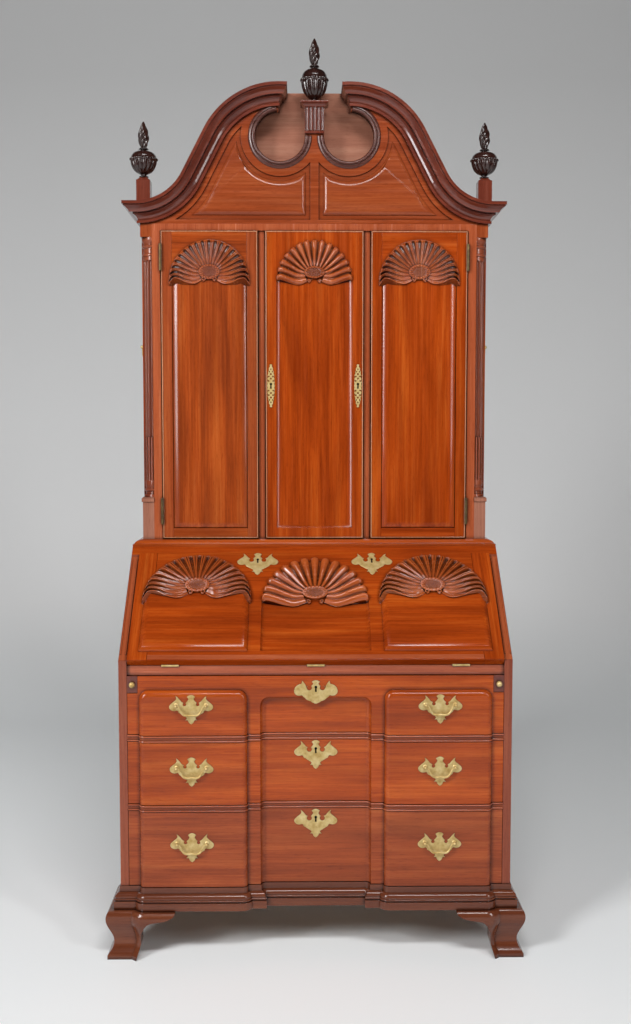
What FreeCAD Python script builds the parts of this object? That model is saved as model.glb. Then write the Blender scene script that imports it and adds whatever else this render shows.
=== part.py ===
"""Block-front bureau bookcase: a slant-front desk with a three-door bookcase on top.

Millimetres, +Z up, front towards -Y. The pieces are drawn with y = 0 on the front edges
of the desk's side boards, and are moved at export so that the origin lies on the floor
under the middle of the whole object.
"""
import FreeCAD, Part
import math
import os

# Driving sizes of the desk
CASE_W = 1060.0
CASE_D = 580.0
SIDE_T = 22.0
FOOT_H = 132.0
BASE_H = 60.0
BOTTOM_T = 18.0
BACK_T = 15.0
DRAWER_OPENINGS = (208.0, 172.0, 160.0)
DIVIDER_T = 18.0
DIVIDER_D = 62.0
WRITING_T = 26.0
DESK_RISE = 295.0
DESK_TOP_T = 22.0
DESK_TOP_FRONT = 286.0
SLANT_START = 15.0

# Block front
OUTER_STRIP = 33.0
INNER_STRIP = 35.0
RECESS_HALF = 150.0
RECESS_D = 18.0
RECESS_R = 16.0
BLOCK_P = 17.0
BLOCK_R = 15.0
SHOULDER_R = 24.0
FRONT_BACK = 36.0
BLOCK_TOP_MARGIN = 37.0
RECESS_TOP_MARGIN = 57.0
BEAD = 2.5

# Drawers
FIT = 1.2
SLIDE_FIT = 0.3
BOX_T = 12.0
BOX_BOTTOM_T = 8.0
BOX_ROOM = 29.0
BOX_LEN = CASE_D - BACK_T - FRONT_BACK - BOX_ROOM
BOX_DROP = 14.0
RUNNER_W = 34.0

# Lopers
LOPER_W = 28.0
LOPER_H = 45.0
LOPER_ROOM = 85.0
LOPER_LEN = CASE_D - BACK_T - LOPER_ROOM
LOPER_FIT = 0.6
GUIDE_T = 10.0
LOPER_SHELF_T = 11.0
KNOB_R = 8.0

# Fall front
LID_T = 26.0
LID_PROUD = 9.0
LID_GAP = 1.6
CLEAT_W = 53.0
LID_HALF = CASE_W / 2
LID_PANEL_IN = 185.0
LID_PANEL_MARGIN = 54.0
LID_PANEL_OUT = CASE_W / 2 - LID_PANEL_MARGIN
LID_PANEL_LOW = 33.0
LID_PANEL_HIGH = 216.0
LID_PANEL_RISE = 12.0
LID_BEVEL = 22.0
LID_CENTRE_HALF = 147.0
LID_SINK = 9.0
LID_SHELL_X = (LID_PANEL_IN + LID_PANEL_OUT) / 2
LID_SHELL_S = 244.0
LID_SHELL_LAP = 4.5
LID_SHELL_A = (LID_PANEL_OUT - LID_PANEL_IN) / 2 + LID_SHELL_LAP
LID_SHELL_B = 108.0
LID_ESCUTCHEON_X = 164.0
LID_ESCUTCHEON_S = 330.0
LID_HINGE_X = 0.74 * LID_HALF

# Bookcase
WAIST_P = 27.0
BOOK_HALF = CASE_W / 2 - WAIST_P
BOOK_FRONT = 313.0
BOOK_SIDE_T = 20.0
BOOK_BOARD_T = 19.0
BOOK_H = 932.0
COLUMN_R = 33.0
STILE_W = 24.0
FRAME_T = 22.0
DOOR_W = 0.5547 * BOOK_HALF
DOOR_GAP = 2.4
MULLION_W = 17.6
MULLION_SET = 10.0
DOOR_T = 22.0
DOOR_PROUD = 4.0
DOOR_STILE = 31.0
DOOR_RAIL = 30.0
DOOR_PANEL_T = 12.0
DOOR_RISE = 8.0
DOOR_BEVEL = 13.0
DOOR_SHELL_Z = 118.0
DOOR_SHELL_A = 0.4086 * DOOR_W
DOOR_SHELL_B = 88.0
SHELF_T = 16.0
SHELF_LEVELS = (0.27, 0.52, 0.77)
WAIST_H = 19.0

# Corner columns
PLINTH_H = 142.0
PLINTH_LIP = 3.0
COLUMN_BASE_H = 36.0
CAPITAL_H = 52.0
CAPITAL_BLOCK_H = 38.0
FLUTE_R = 3.0
FLUTES = 4

# Scroll pediment: its curves keep their form as the bookcase gets wider or narrower
TYMPANUM_T = 20.0
SCROLL_LOW_R = 0.4095 * BOOK_HALF
SCROLL_OUT = 7.0
SCROLL_HIGH_R = 0.3678 * BOOK_HALF
SCROLL_HIGH_X = 0.1988 * BOOK_HALF
SCROLL_HIGH_RISE = 0.2922 * BOOK_HALF
SCROLL_END_X = 0.2087 * BOOK_HALF
SCROLL_RETURN_P = 27.0
CORNICE_H = 57.0
CORNICE_P = 46.0
ROOF_T = 8.0
RING_X = 0.1968 * BOOK_HALF
RING_RISE = 0.494 * BOOK_HALF
RING_R = 0.1451 * BOOK_HALF
RING_W = 18.0
RING_P = 6.0
SUNK_D = 4.0
SUNK_MULLION = 12.0
SUNK_RING_ROOM = 40.0
SUNK_RING_R = RING_R + SUNK_RING_ROOM
SUNK_EDGE = 16.0
SUNK_BOTTOM = 12.0
FIELD_IN = 22.0
FIELD_RISE = 9.0
FIELD_BEVEL = 20.0
INNER_BOARD_Y = 70.0

# Finials
CENTRE_PLINTH_W = 56.0
CENTRE_PLINTH_D = 44.0
CENTRE_PLINTH_LIFT = 6.5
CENTRE_PLINTH_Z = RING_RISE + CENTRE_PLINTH_LIFT
CENTRE_PLINTH_H = 76.0
PLINTH_CAP_H = 14.0
PLINTH_CAP_P = 12.0
SIDE_PLINTH_W = 40.0
SIDE_PLINTH_H = 78.0
URN_R = 38.0
CENTRE_URN_H = 106.0
SIDE_URN_H = 82.0
FLAME_R = 16.0
FLAME_H = 76.0

# Brasses
PLATE_T = 1.6
PULL_HALF = 40.0
BAIL_OUT = 11.0
BAIL_DROP = 26.0
BAIL_R = 2.6
PIN_R = 1.9
PIN_FIT = 0.08
POST_R = 5.0
HINGE_LEN = 76.0
HINGE_R = 4.0
HINGE_PIN_R = 1.5
HINGE_LEAF = 1.0
LID_HINGE_LEN = 47.0
LID_HINGE_R = 3.4
LEAF_W = 20.0
KNUCKLE_GAP = 0.3

# Worked-out levels and planes
V = FreeCAD.Vector
X_AXIS = V(1, 0, 0)
Y_AXIS = V(0, 1, 0)
Z_AXIS = V(0, 0, 1)
CASE_HALF = CASE_W / 2
INSIDE_HALF = CASE_HALF - SIDE_T
BLOCK_OUT = INSIDE_HALF - OUTER_STRIP
BLOCK_IN = RECESS_HALF + INNER_STRIP
BASE_TOP = FOOT_H + BASE_H
WRITING_Z = BASE_TOP + sum(DRAWER_OPENINGS) + DIVIDER_T * (len(DRAWER_OPENINGS) - 1) + WRITING_T
DESK_TOP_Z = WRITING_Z + DESK_RISE
DESK_UNDER = DESK_TOP_Z - DESK_TOP_T
SLANT_Z = WRITING_Z + SLANT_START
SLANT = math.atan2(DESK_TOP_Z - SLANT_Z, DESK_TOP_FRONT)
AXIS_Y = (LID_T - LID_PROUD) / math.sin(SLANT) - SLANT_START / math.tan(SLANT)
BOOK_Z = DESK_TOP_Z
BOOK_TOP = BOOK_Z + BOOK_H
BOOK_INSIDE = BOOK_HALF - BOOK_SIDE_T
FRAME_BACK = BOOK_FRONT + FRAME_T
STILE_OUT = BOOK_HALF - COLUMN_R
STILE_IN = STILE_OUT - STILE_W
DOOR_FRONT = BOOK_FRONT - DOOR_PROUD
DOOR_LOW = BOOK_Z + WAIST_H + DOOR_GAP
DOOR_HIGH = BOOK_TOP - BOOK_BOARD_T - DOOR_GAP / 2
OUTER_DOOR_OUT = STILE_IN - DOOR_GAP
OUTER_DOOR_IN = OUTER_DOOR_OUT - DOOR_W
MULLION_OUT = OUTER_DOOR_IN - DOOR_GAP
MULLION_IN = MULLION_OUT - MULLION_W
CENTRE_DOOR_HALF = MULLION_IN - DOOR_GAP
BACK_FACE = CASE_D - BACK_T
OGEE = ((0.0, 33.0), (0.05, 33.0), (0.13, 29.0), (0.16, 25.0), (0.22, 20.0), (0.30, 17.0), (0.38, 17.0),
        (0.46, 19.5), (0.55, 24.0), (0.64, 29.0), (0.73, 33.5), (0.82, 36.5), (0.90, 36.5), (0.96, 34.0),
        (1.0, 29.0))
OGEE_MAX = max(off for share, off in OGEE)
FRONT_REACH = BLOCK_P + OGEE_MAX
ORIGIN_Y = (CASE_D - FRONT_REACH) / 2

os.makedirs("parts", exist_ok=True)


def save(name, *solids):
    """Write one node, moved so that the origin is under the middle of the object."""
    shape = solids[0] if len(solids) == 1 else Part.makeCompound(list(solids))
    shape = shape.copy()
    shape.translate(V(0, -ORIGIN_Y, 0))
    shape.exportStep("parts/%s.step" % name)


def box(x0, x1, y0, y1, z0, z1):
    return Part.makeBox(x1 - x0, y1 - y0, z1 - z0, V(x0, y0, z0))


def mirrored(shape):
    """The same piece on the other side of the middle plane."""
    return shape.mirror(V(0, 0, 0), X_AXIS)


def both(shape):
    return [shape, mirrored(shape)]


def prism(points, along):
    """A flat outline of straight lines, pushed along a vector."""
    wire = Part.makePolygon(list(points) + [points[0]])
    return Part.Face(wire).extrude(along)


def prism_x(points, x0, x1):
    return prism([V(x0, y, z) for y, z in points], V(x1 - x0, 0, 0))


def line(a, b):
    return Part.LineSegment(a, b).toShape()


def arc(a, middle, b):
    return Part.Arc(a, middle, b).toShape()


def turned(profile, x, y):
    """A turning: (radius, height) points revolved about an upright axis."""
    points = [V(x + r, y, z) for r, z in profile]
    wire = Part.makePolygon(points + [points[0]])
    return Part.Face(wire).revolve(V(x, y, 0), Z_AXIS, 360)


def merged(shapes):
    first = shapes[0]
    return first.multiFuse(shapes[1:]).removeSplitter() if len(shapes) > 1 else first


# Block front: its line in plan, pushed out by an offset

def block_half(off, edge, z):
    """Edges of the right half, from the middle of the recess to the outer edge."""
    r_in = max(RECESS_R - off, 0.6)
    wall_in = RECESS_HALF - off
    floor = RECESS_D - off
    r_out = BLOCK_R + off
    straight = BLOCK_P - BLOCK_R
    start = max(straight, off + 0.4)
    lean = math.asin(min((start - straight) / r_out, 0.99))
    c_in = BLOCK_IN + BLOCK_R
    c_out = BLOCK_OUT - BLOCK_R
    reach = r_out * math.cos(lean)
    face = -(BLOCK_P + off)
    half_turn = (lean + math.pi / 2) / 2
    mid_x = r_out * math.cos(half_turn)
    mid_y = -straight - r_out * math.sin(half_turn)
    diagonal = r_in * math.sqrt(0.5)
    points = {
        "middle": V(0, floor, z),
        "floor_end": V(wall_in - r_in, floor, z),
        "cove_mid": V(wall_in - r_in + diagonal, floor - r_in + diagonal, z),
        "cove_end": V(wall_in, floor - r_in, z),
        "strip_in": V(wall_in, -off, z),
        "strip_out": V(c_in - reach, -off, z),
        "round_in": V(c_in - reach, -start, z),
        "round_in_mid": V(c_in - mid_x, mid_y, z),
        "face_in": V(c_in, face, z),
        "face_out": V(c_out, face, z),
        "round_out_mid": V(c_out + mid_x, mid_y, z),
        "round_out": V(c_out + reach, -start, z),
        "outer_in": V(c_out + reach, -off, z),
        "outer": V(edge, -off, z),
    }
    p = points
    edges = [
        line(p["middle"], p["floor_end"]),
        arc(p["floor_end"], p["cove_mid"], p["cove_end"]),
        line(p["cove_end"], p["strip_in"]),
        line(p["strip_in"], p["strip_out"]),
        line(p["strip_out"], p["round_in"]),
        arc(p["round_in"], p["round_in_mid"], p["face_in"]),
        line(p["face_in"], p["face_out"]),
        arc(p["face_out"], p["round_out_mid"], p["round_out"]),
        line(p["round_out"], p["outer_in"]),
        line(p["outer_in"], p["outer"]),
    ]
    return edges


def block_wire(off, edge, back, z):
    """Closed outline of the block front, from its face to a straight back."""
    right = block_half(off, edge, z)
    left = [mirrored(e) for e in right]
    ends = [V(edge, -off, z), V(edge, back, z), V(-edge, back, z), V(-edge, -off, z)]
    closing = [line(a, b) for a, b in zip(ends, ends[1:])]
    return Part.Wire(Part.__sortEdges__(right + closing + left))


def block_layers(sections, back):
    """A moulding that follows the block front, from (height, offset, half width) rows."""
    wires = [block_wire(off, edge, back, z) for z, off, edge in sections]
    return Part.makeLoft(wires, True, True)


def half_block_wire(off, edge, back, z):
    """Right half of the same outline, closed along the middle plane."""
    right = block_half(off, edge, z)
    ends = [V(edge, -off, z), V(edge, back, z), V(0, back, z), V(0, RECESS_D - off, z)]
    closing = [line(a, b) for a, b in zip(ends, ends[1:])]
    return Part.Wire(Part.__sortEdges__(right + closing))


# Desk carcase

def slant_y(z):
    """Where the slanted plane of the desk's sides stands at a height."""
    return (z - SLANT_Z) / math.tan(SLANT)


def desk_side():
    outline = [(0, FOOT_H), (CASE_D, FOOT_H), (CASE_D, DESK_UNDER),
               (slant_y(DESK_UNDER), DESK_UNDER), (0, SLANT_Z)]
    return prism_x(outline, INSIDE_HALF, CASE_HALF)


def desk_top():
    outline = [(slant_y(DESK_UNDER), DESK_UNDER), (CASE_D, DESK_UNDER),
               (CASE_D, DESK_TOP_Z), (DESK_TOP_FRONT, DESK_TOP_Z)]
    return prism_x(outline, -CASE_HALF, CASE_HALF)


def desk_back_boards():
    low = BASE_TOP
    count = 4
    step = (DESK_UNDER - low) / count
    return [box(-INSIDE_HALF, INSIDE_HALF, BACK_FACE, CASE_D, low + i * step, low + (i + 1) * step)
            for i in range(count)]


def opening_levels():
    """Bottom and top of each drawer opening, from the floor up."""
    levels = []
    z = BASE_TOP
    for height in DRAWER_OPENINGS:
        levels.append((z, z + height))
        z += height + DIVIDER_T
    return levels


LEVELS = opening_levels()
TOP_LOW, TOP_HIGH = LEVELS[-1]
LOPER_Z = TOP_HIGH - LOPER_FIT - LOPER_H
LOPER_IN = INSIDE_HALF - LOPER_FIT - LOPER_W
GUIDE_OUT = LOPER_IN - LOPER_FIT
GUIDE_IN = GUIDE_OUT - GUIDE_T


def divider(z):
    """Drawer divider with a bead along each edge of its blocked face."""
    b = BEAD
    t = DIVIDER_T
    rows = [(0, 0), (b * 0.3, b * 0.8), (b, b), (b * 1.7, b * 0.8), (b * 2, 0),
            (t - b * 2, 0), (t - b * 1.7, b * 0.8), (t - b, b), (t - b * 0.3, b * 0.8), (t, 0)]
    return block_layers([(z + rise, off, INSIDE_HALF) for rise, off in rows], DIVIDER_D)


def drawer_runners():
    """Runners behind the dividers, with the lopers' guides and shelves over the top ones."""
    pieces = []
    for (low, high), (upper_low, upper_high) in zip(LEVELS, LEVELS[1:]):
        inner = GUIDE_IN - RUNNER_W if upper_low == TOP_LOW else INSIDE_HALF - RUNNER_W
        pieces.append(box(inner, INSIDE_HALF, DIVIDER_D, BACK_FACE, high, upper_low))
    guide_front = FRONT_BACK + 2 * FIT
    pieces.append(box(GUIDE_IN, GUIDE_OUT, guide_front, BACK_FACE, TOP_LOW, TOP_HIGH))
    shelf_top = LOPER_Z - SLIDE_FIT
    pieces.append(box(GUIDE_OUT, INSIDE_HALF, guide_front, BACK_FACE,
                      shelf_top - LOPER_SHELF_T, shelf_top))
    return [solid for piece in pieces for solid in both(piece)]


def base_moulding(sides):
    """Mitred base moulding: ovolo over a fascia, following the block front."""
    rows = [(0.0, 16.0), (0.04, 17.0), (0.34, 17.0), (0.37, 13.5), (0.42, 13.5), (0.43, 15.0), (0.47, 15.0),
            (0.53, 14.5), (0.60, 13.0), (0.67, 10.5), (0.72, 7.5), (0.755, 4.0), (0.77, 2.5), (1.0, 2.5)]
    sections = [(FOOT_H + share * BASE_H, off, CASE_HALF + off) for share, off in rows]
    whole = block_layers(sections, CASE_D)
    inner = box(-CASE_HALF, CASE_HALF, FRONT_BACK, CASE_D, FOOT_H, BASE_TOP)
    frame = whole.cut(inner).cut(Part.makeCompound(sides))
    reach = 2 * CASE_HALF
    wedge = [(CASE_HALF, 0), (CASE_HALF + reach, -reach), (CASE_HALF + reach, CASE_D), (CASE_HALF, CASE_D)]
    side_zone = prism([V(x, y, FOOT_H) for x, y in wedge], V(0, 0, BASE_H))
    zones = both(side_zone)
    front = frame.cut(Part.makeCompound(zones))
    return [front] + [frame.common(zone) for zone in zones]


# Ogee bracket feet

BRACKET_PAD = 82.0
BRACKET_TIP = 188.0
BRACKET_T = 20.0


def bracket_waste(top):
    """Waste under a bracket: (distance from the corner, height), cusped to its tip."""
    d, t, h = BRACKET_PAD, BRACKET_TIP, top
    reach = t + CASE_HALF
    a = V(d, -1, 0)
    b = V(d + 12, 0.30 * h, 0)
    c = V(d + 18, 0.62 * h, 0)
    e = V(d + 44, 0.82 * h, 0)
    f = V(t - 22, 0.87 * h, 0)
    g = V(t, h + 1, 0)
    edges = [
        line(a, b),
        arc(b, V(d + 11, 0.48 * h, 0), c),
        arc(c, V(d + 26, 0.76 * h, 0), e),
        arc(e, V((d + t) / 2 + 12, 0.81 * h, 0), f),
        arc(f, V(t - 6, 0.92 * h, 0), g),
        line(g, V(reach, h + 1, 0)),
        line(V(reach, h + 1, 0), V(reach, -1, 0)),
        line(V(reach, -1, 0), a),
    ]
    return Part.Face(Part.Wire(edges))


def waste_along_y(corner_x, y0, y1):
    """Bracket waste seen from the front, for the right foot."""
    face = bracket_waste(FOOT_H)
    face.rotate(V(0, 0, 0), X_AXIS, 90)
    face = face.mirror(V(0, 0, 0), X_AXIS)
    face.translate(V(corner_x, y0, 0))
    return face.extrude(V(0, y1 - y0, 0))


def waste_along_x(corner_y, towards, x0, x1):
    """Bracket waste seen from the side, running back (+1) or forward (-1) from a corner."""
    face = bracket_waste(FOOT_H)
    face.rotate(V(0, 0, 0), X_AXIS, 90)
    face.rotate(V(0, 0, 0), Z_AXIS, 90)
    if towards < 0:
        face = face.mirror(V(0, 0, 0), Y_AXIS)
    face.translate(V(x0, corner_y, 0))
    return face.extrude(V(x1 - x0, 0, 0))


def front_foot():
    """Right front foot: the ogee follows the block front and turns the corner."""
    corner = CASE_HALF + OGEE_MAX
    back = BRACKET_TIP
    wires = [half_block_wire(off, CASE_HALF + off, back, share * FOOT_H) for share, off in OGEE]
    foot = Part.makeLoft(wires, True, True)
    hollow = box(-1, CASE_HALF - BRACKET_T, BRACKET_T, back + 1, -1, FOOT_H + 1)
    foot = foot.cut(hollow)
    foot = foot.cut(waste_along_y(corner, -2 * FRONT_REACH, BRACKET_T + 1))
    side_waste = waste_along_x(-OGEE_MAX, 1, CASE_HALF - 2 * BRACKET_T, corner + 10)
    foot = foot.cut(side_waste)
    return max(foot.Solids, key=lambda s: s.Volume)


def rear_foot():
    """Right rear foot: ogee on the side, a plain bracket across the back."""
    corner = CASE_HALF + OGEE_MAX
    rows = []
    start = CASE_D - BRACKET_TIP
    for share, off in OGEE:
        z = share * FOOT_H
        rows.append(Part.makePolygon([V(CASE_HALF - BRACKET_T, start, z), V(CASE_HALF + off, start, z),
                                      V(CASE_HALF + off, CASE_D, z), V(CASE_HALF - BRACKET_T, CASE_D, z),
                                      V(CASE_HALF - BRACKET_T, start, z)]))
    side = Part.makeLoft(rows, True, True)
    side = side.cut(waste_along_x(CASE_D, -1, CASE_HALF - 2 * BRACKET_T, corner + 10))
    across = box(corner - BRACKET_TIP, CASE_HALF - BRACKET_T, CASE_D - BRACKET_T, CASE_D, 0, FOOT_H)
    across = across.cut(waste_along_y(corner, CASE_D - 2 * BRACKET_T, CASE_D + 1))
    return side.fuse(across)


# Brasses

def batwing(width, height):
    """Half outline of a batwing plate as edges, in (x, z), mirrored to a whole face."""
    w, h = width / 2, height / 2
    p = [V(0, 0, 0.93 * h), V(0.17 * w, 0, h), V(0.15 * w, 0, 0.74 * h), V(0.27 * w, 0, 0.60 * h),
         V(0.47 * w, 0, 0.50 * h), V(0.60 * w, 0, 0.90 * h), V(0.72 * w, 0, 0.66 * h),
         V(0.76 * w, 0, -0.06 * h), V(0.55 * w, 0, -0.10 * h), V(0.28 * w, 0, -0.52 * h),
         V(0.22 * w, 0, -0.70 * h), V(0.13 * w, 0, -0.72 * h), V(0, 0, -h)]
    half = [line(p[0], p[1]), line(p[1], p[2]), line(p[2], p[3]),
            arc(p[3], V(0.37 * w, 0, 0.28 * h), p[4]),
            line(p[4], p[5]), line(p[5], p[6]),
            arc(p[6], V(w, 0, 0.28 * h), p[7]),
            line(p[7], p[8]), line(p[8], p[9]), line(p[9], p[10]), line(p[10], p[11]), line(p[11], p[12])]
    return Part.Face(Part.Wire(Part.__sortEdges__(half + [mirrored(e) for e in half])))


PULL_W = 118.0
PULL_H = 80.0
TOP_PLATE_H = 64.0
PIVOT_RISE = 12.0


def keyhole(x, z, y0, y1):
    """Keyhole through a plate, as a cutter along Y."""
    ring = Part.makeCylinder(2.6, y1 - y0, V(x, y0, z), Y_AXIS)
    slot = box(x - 1.4, x + 1.4, y0, y1, z - 9, z)
    return ring.fuse(slot)


def pull_plate(x, y, z):
    """Batwing plate with its two bored posts; y is the face that it is nailed to."""
    face = batwing(PULL_W, PULL_H)
    plate = face.extrude(V(0, -PLATE_T, 0))
    posts = []
    for side in (-1, 1):
        centre = V(side * PULL_HALF, -PLATE_T - BAIL_OUT, PIVOT_RISE)
        stem = Part.makeCylinder(POST_R * 0.6, BAIL_OUT, V(centre.x, -PLATE_T, centre.z), V(0, -1, 0))
        ball = Part.makeSphere(POST_R, centre)
        posts += [stem, ball]
    bore = Part.makeCylinder(PIN_R + PIN_FIT, 2 * PULL_W, V(-PULL_W, -PLATE_T - BAIL_OUT, PIVOT_RISE), X_AXIS)
    pull = merged([plate] + posts).cut(bore)
    pull.translate(V(x, y, z))
    return pull


def bail(x, y, z):
    """Hanging bail: pins in the posts, arms that sweep down to a straight grip."""
    arm = PULL_HALF - POST_R - BAIL_R - 0.6
    low = PIVOT_RISE - BAIL_DROP
    depth = -PLATE_T - BAIL_OUT
    bend = BAIL_DROP * 0.5
    s = math.sqrt(0.5)
    path = Part.Wire([
        line(V(-arm, depth, PIVOT_RISE), V(-arm, depth, low + bend)),
        arc(V(-arm, depth, low + bend), V(-arm + bend * (1 - s), depth, low + bend * (1 - s)),
            V(-arm + bend, depth, low)),
        line(V(-arm + bend, depth, low), V(arm - bend, depth, low)),
        arc(V(arm - bend, depth, low), V(arm - bend * (1 - s), depth, low + bend * (1 - s)),
            V(arm, depth, low + bend)),
        line(V(arm, depth, low + bend), V(arm, depth, PIVOT_RISE)),
    ])
    ring = Part.Wire(Part.makeCircle(BAIL_R, V(-arm, depth, PIVOT_RISE), Z_AXIS))
    rod = path.makePipeShell([ring], True, False)
    pieces = [rod]
    for side in (-1, 1):
        pieces.append(Part.makeSphere(BAIL_R, V(side * arm, depth, PIVOT_RISE)))
        pin_len = PULL_HALF + POST_R * 0.5 - arm
        pieces.append(Part.makeCylinder(PIN_R, pin_len, V(side * arm, depth, PIVOT_RISE), V(side, 0, 0)))
    handle = merged(pieces)
    handle.translate(V(x, y, z))
    return handle


def escutcheon(x, y, z, width, height):
    """Batwing keyhole plate on a face at y."""
    plate = batwing(width, height).extrude(V(0, -PLATE_T, 0))
    plate = plate.cut(keyhole(0, 0.42 * height / 2, -PLATE_T - 1, 1))
    plate.translate(V(x, y, z))
    return plate


# Drawers

def edges_where(shape, test):
    return [e for e in shape.Edges if test(e)]


def shoulders(shape, top):
    """A block's or a recess's two upper corner edges, which run from front to back."""
    return edges_where(shape, lambda e: e.BoundBox.ZMin > top - 0.1 and e.BoundBox.XLength < 0.1)


def top_front(low, high):
    """Top drawer's front: a board whose blocks and recess stop short of its top edge, and an end piece
    below each slide."""
    edge = INSIDE_HALF - FIT
    board = box(-GUIDE_OUT, GUIDE_OUT, 0, FRONT_BACK, low, high)
    end = box(GUIDE_OUT, edge, 0, FRONT_BACK, low, LOPER_Z - FIT - LOPER_FIT)
    block_top = high - BLOCK_TOP_MARGIN
    block = box(BLOCK_IN, BLOCK_OUT, -BLOCK_P, 1, low, block_top)
    block = block.makeFillet(SHOULDER_R, shoulders(block, block_top))

    def rounded(e):
        box_e = e.BoundBox
        on_face = box_e.YMax < -BLOCK_P + 0.1
        return on_face and box_e.ZMax > low + 1

    block = block.makeFillet(BLOCK_R, edges_where(block, rounded))
    recess_top = high - RECESS_TOP_MARGIN
    recess = box(-RECESS_HALF, RECESS_HALF, -1, RECESS_D, low - 50, recess_top)
    recess = recess.makeFillet(SHOULDER_R, shoulders(recess, recess_top))

    def coved(e):
        box_e = e.BoundBox
        return box_e.YMin > RECESS_D - 0.1 and box_e.ZMax > low

    recess = recess.makeFillet(RECESS_R, edges_where(recess, coved))
    front = board.multiFuse(both(block)).cut(recess)
    return [front.removeSplitter()] + both(end)


def plain_front(low, high):
    """Lower drawer's front: the block line runs through from bottom to top."""
    outline = block_wire(0, INSIDE_HALF - FIT, FRONT_BACK, low)
    return Part.Face(outline).extrude(V(0, 0, high - low))


def drawer_box(half, low, high):
    """Sides, back and bottom behind a drawer front, as separate boards."""
    y0, y1 = FRONT_BACK, FRONT_BACK + BOX_LEN
    top = high - BOX_DROP
    side = box(half - BOX_T, half, y0, y1, low, top)
    inner = half - BOX_T
    floor = low + BOX_BOTTOM_T
    back = box(-inner, inner, y1 - BOX_T, y1, floor, top)
    bottom = box(-inner, inner, y0, y1, low, floor)
    return both(side) + [back, bottom]


LOCK_W = 62.0
LOCK_H = 44.0
LOCK_T = 9.0
PULL_X = 0.3151 * CASE_W


def lock_case(x, y, z):
    """Lock case screwed inside a front or a lid, y is the face that it lies on."""
    return box(x - LOCK_W / 2, x + LOCK_W / 2, y, y + LOCK_T, z - LOCK_H * 0.6, z + LOCK_H * 0.4)


DRAWER_NAMES = ("bottom_drawer", "middle_drawer", "top_drawer")
PULL_SHARES = (0.53, 0.535, 0.45)
ESCUTCHEON_SHARES = (0.79, 0.75, 0.72)


def make_drawers():
    for name, (low, high), pull_share, key_share in zip(DRAWER_NAMES, LEVELS, PULL_SHARES, ESCUTCHEON_SHARES):
        is_top = high == TOP_HIGH
        front_low, front_high = low + FIT, high - FIT
        front = top_front(front_low, front_high) if is_top else [plain_front(front_low, front_high)]
        half = GUIDE_IN - FIT if is_top else INSIDE_HALF - 2 * FIT
        pull_z = low + pull_share * (high - low)
        key_z = low + key_share * (high - low)
        key_y = 0 if is_top else RECESS_D
        plates = [pull_plate(side * PULL_X, -BLOCK_P, pull_z) for side in (-1, 1)]
        plates.append(escutcheon(0, key_y, key_z, PULL_W, TOP_PLATE_H if is_top else PULL_H))
        plates.append(lock_case(0, FRONT_BACK, key_z))
        save(name + "_front", *front)
        save(name + "_box", *drawer_box(half, low + SLIDE_FIT, high))
        save(name + "_brasses", *plates)
        save(name + "_left_bail", bail(-PULL_X, -BLOCK_P, pull_z))
        save(name + "_right_bail", bail(PULL_X, -BLOCK_P, pull_z))


# Carved shells

def shell(a, b, low_angle, rays, rim, floor):
    """Fan of ribs on the plane z = 0, from an oval at the origin to a lobed arch."""
    ribs = []
    sweep = 180 - 2 * low_angle
    for i in range(rays):
        angle = math.radians(low_angle + sweep * i / (rays - 1))
        reach = 1 / math.hypot(math.cos(angle) / a, math.sin(angle) / b) - rim
        direction = V(math.cos(angle), math.sin(angle), 0)
        start = direction * (0.16 * a)
        length = reach - 0.16 * a
        ribs.append(Part.makeCone(rim * 0.34, rim, length, start, direction))
        ribs.append(Part.makeSphere(rim, direction * reach))
    fan = ribs[0].multiFuse(ribs[1:])
    boss = Part.makeCylinder(0.2 * a, 0.75 * rim)
    body = fan.fuse(boss)
    slab = Part.makeBox(4 * a, 4 * a, 4 * a, V(-2 * a, -2 * a, floor))
    return body.common(slab)


SHELL_RAYS = 15
LID_SHELL_RIM = 15.0
DOOR_SHELL_RIM = 11.5
SHELL_LOW_ANGLE = -14.0


def frustum(x0, x1, y0, y1, z0, z1, inset):
    """Bevelled raised field: the outline at z0, drawn in by the inset at z1."""
    low = Part.makePolygon([V(x0, y0, z0), V(x1, y0, z0), V(x1, y1, z0), V(x0, y1, z0), V(x0, y0, z0)])
    x0, x1, y0, y1 = x0 + inset, x1 - inset, y0 + inset, y1 - inset
    high = Part.makePolygon([V(x0, y0, z1), V(x1, y0, z1), V(x1, y1, z1), V(x0, y1, z1), V(x0, y0, z1)])
    return Part.makeLoft([low, high], True, True)


# Fall front, drawn flat: x across, y up the slope from the hinge line, z outwards

def lid_length():
    """Along the inner face from the hinge axis to just short of the desk top."""
    dy = slant_y(DESK_UNDER) - AXIS_Y
    dz = DESK_UNDER - WRITING_Z
    return dy * math.cos(SLANT) + dz * math.sin(SLANT) - LID_GAP


LID_LEN = lid_length()


def on_slope(shape):
    """Stand a piece that was drawn flat on the slanted lid."""
    stood = shape.copy()
    stood.rotate(V(0, 0, 0), X_AXIS, math.degrees(SLANT))
    stood.translate(V(0, AXIS_Y, WRITING_Z))
    return stood


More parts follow.
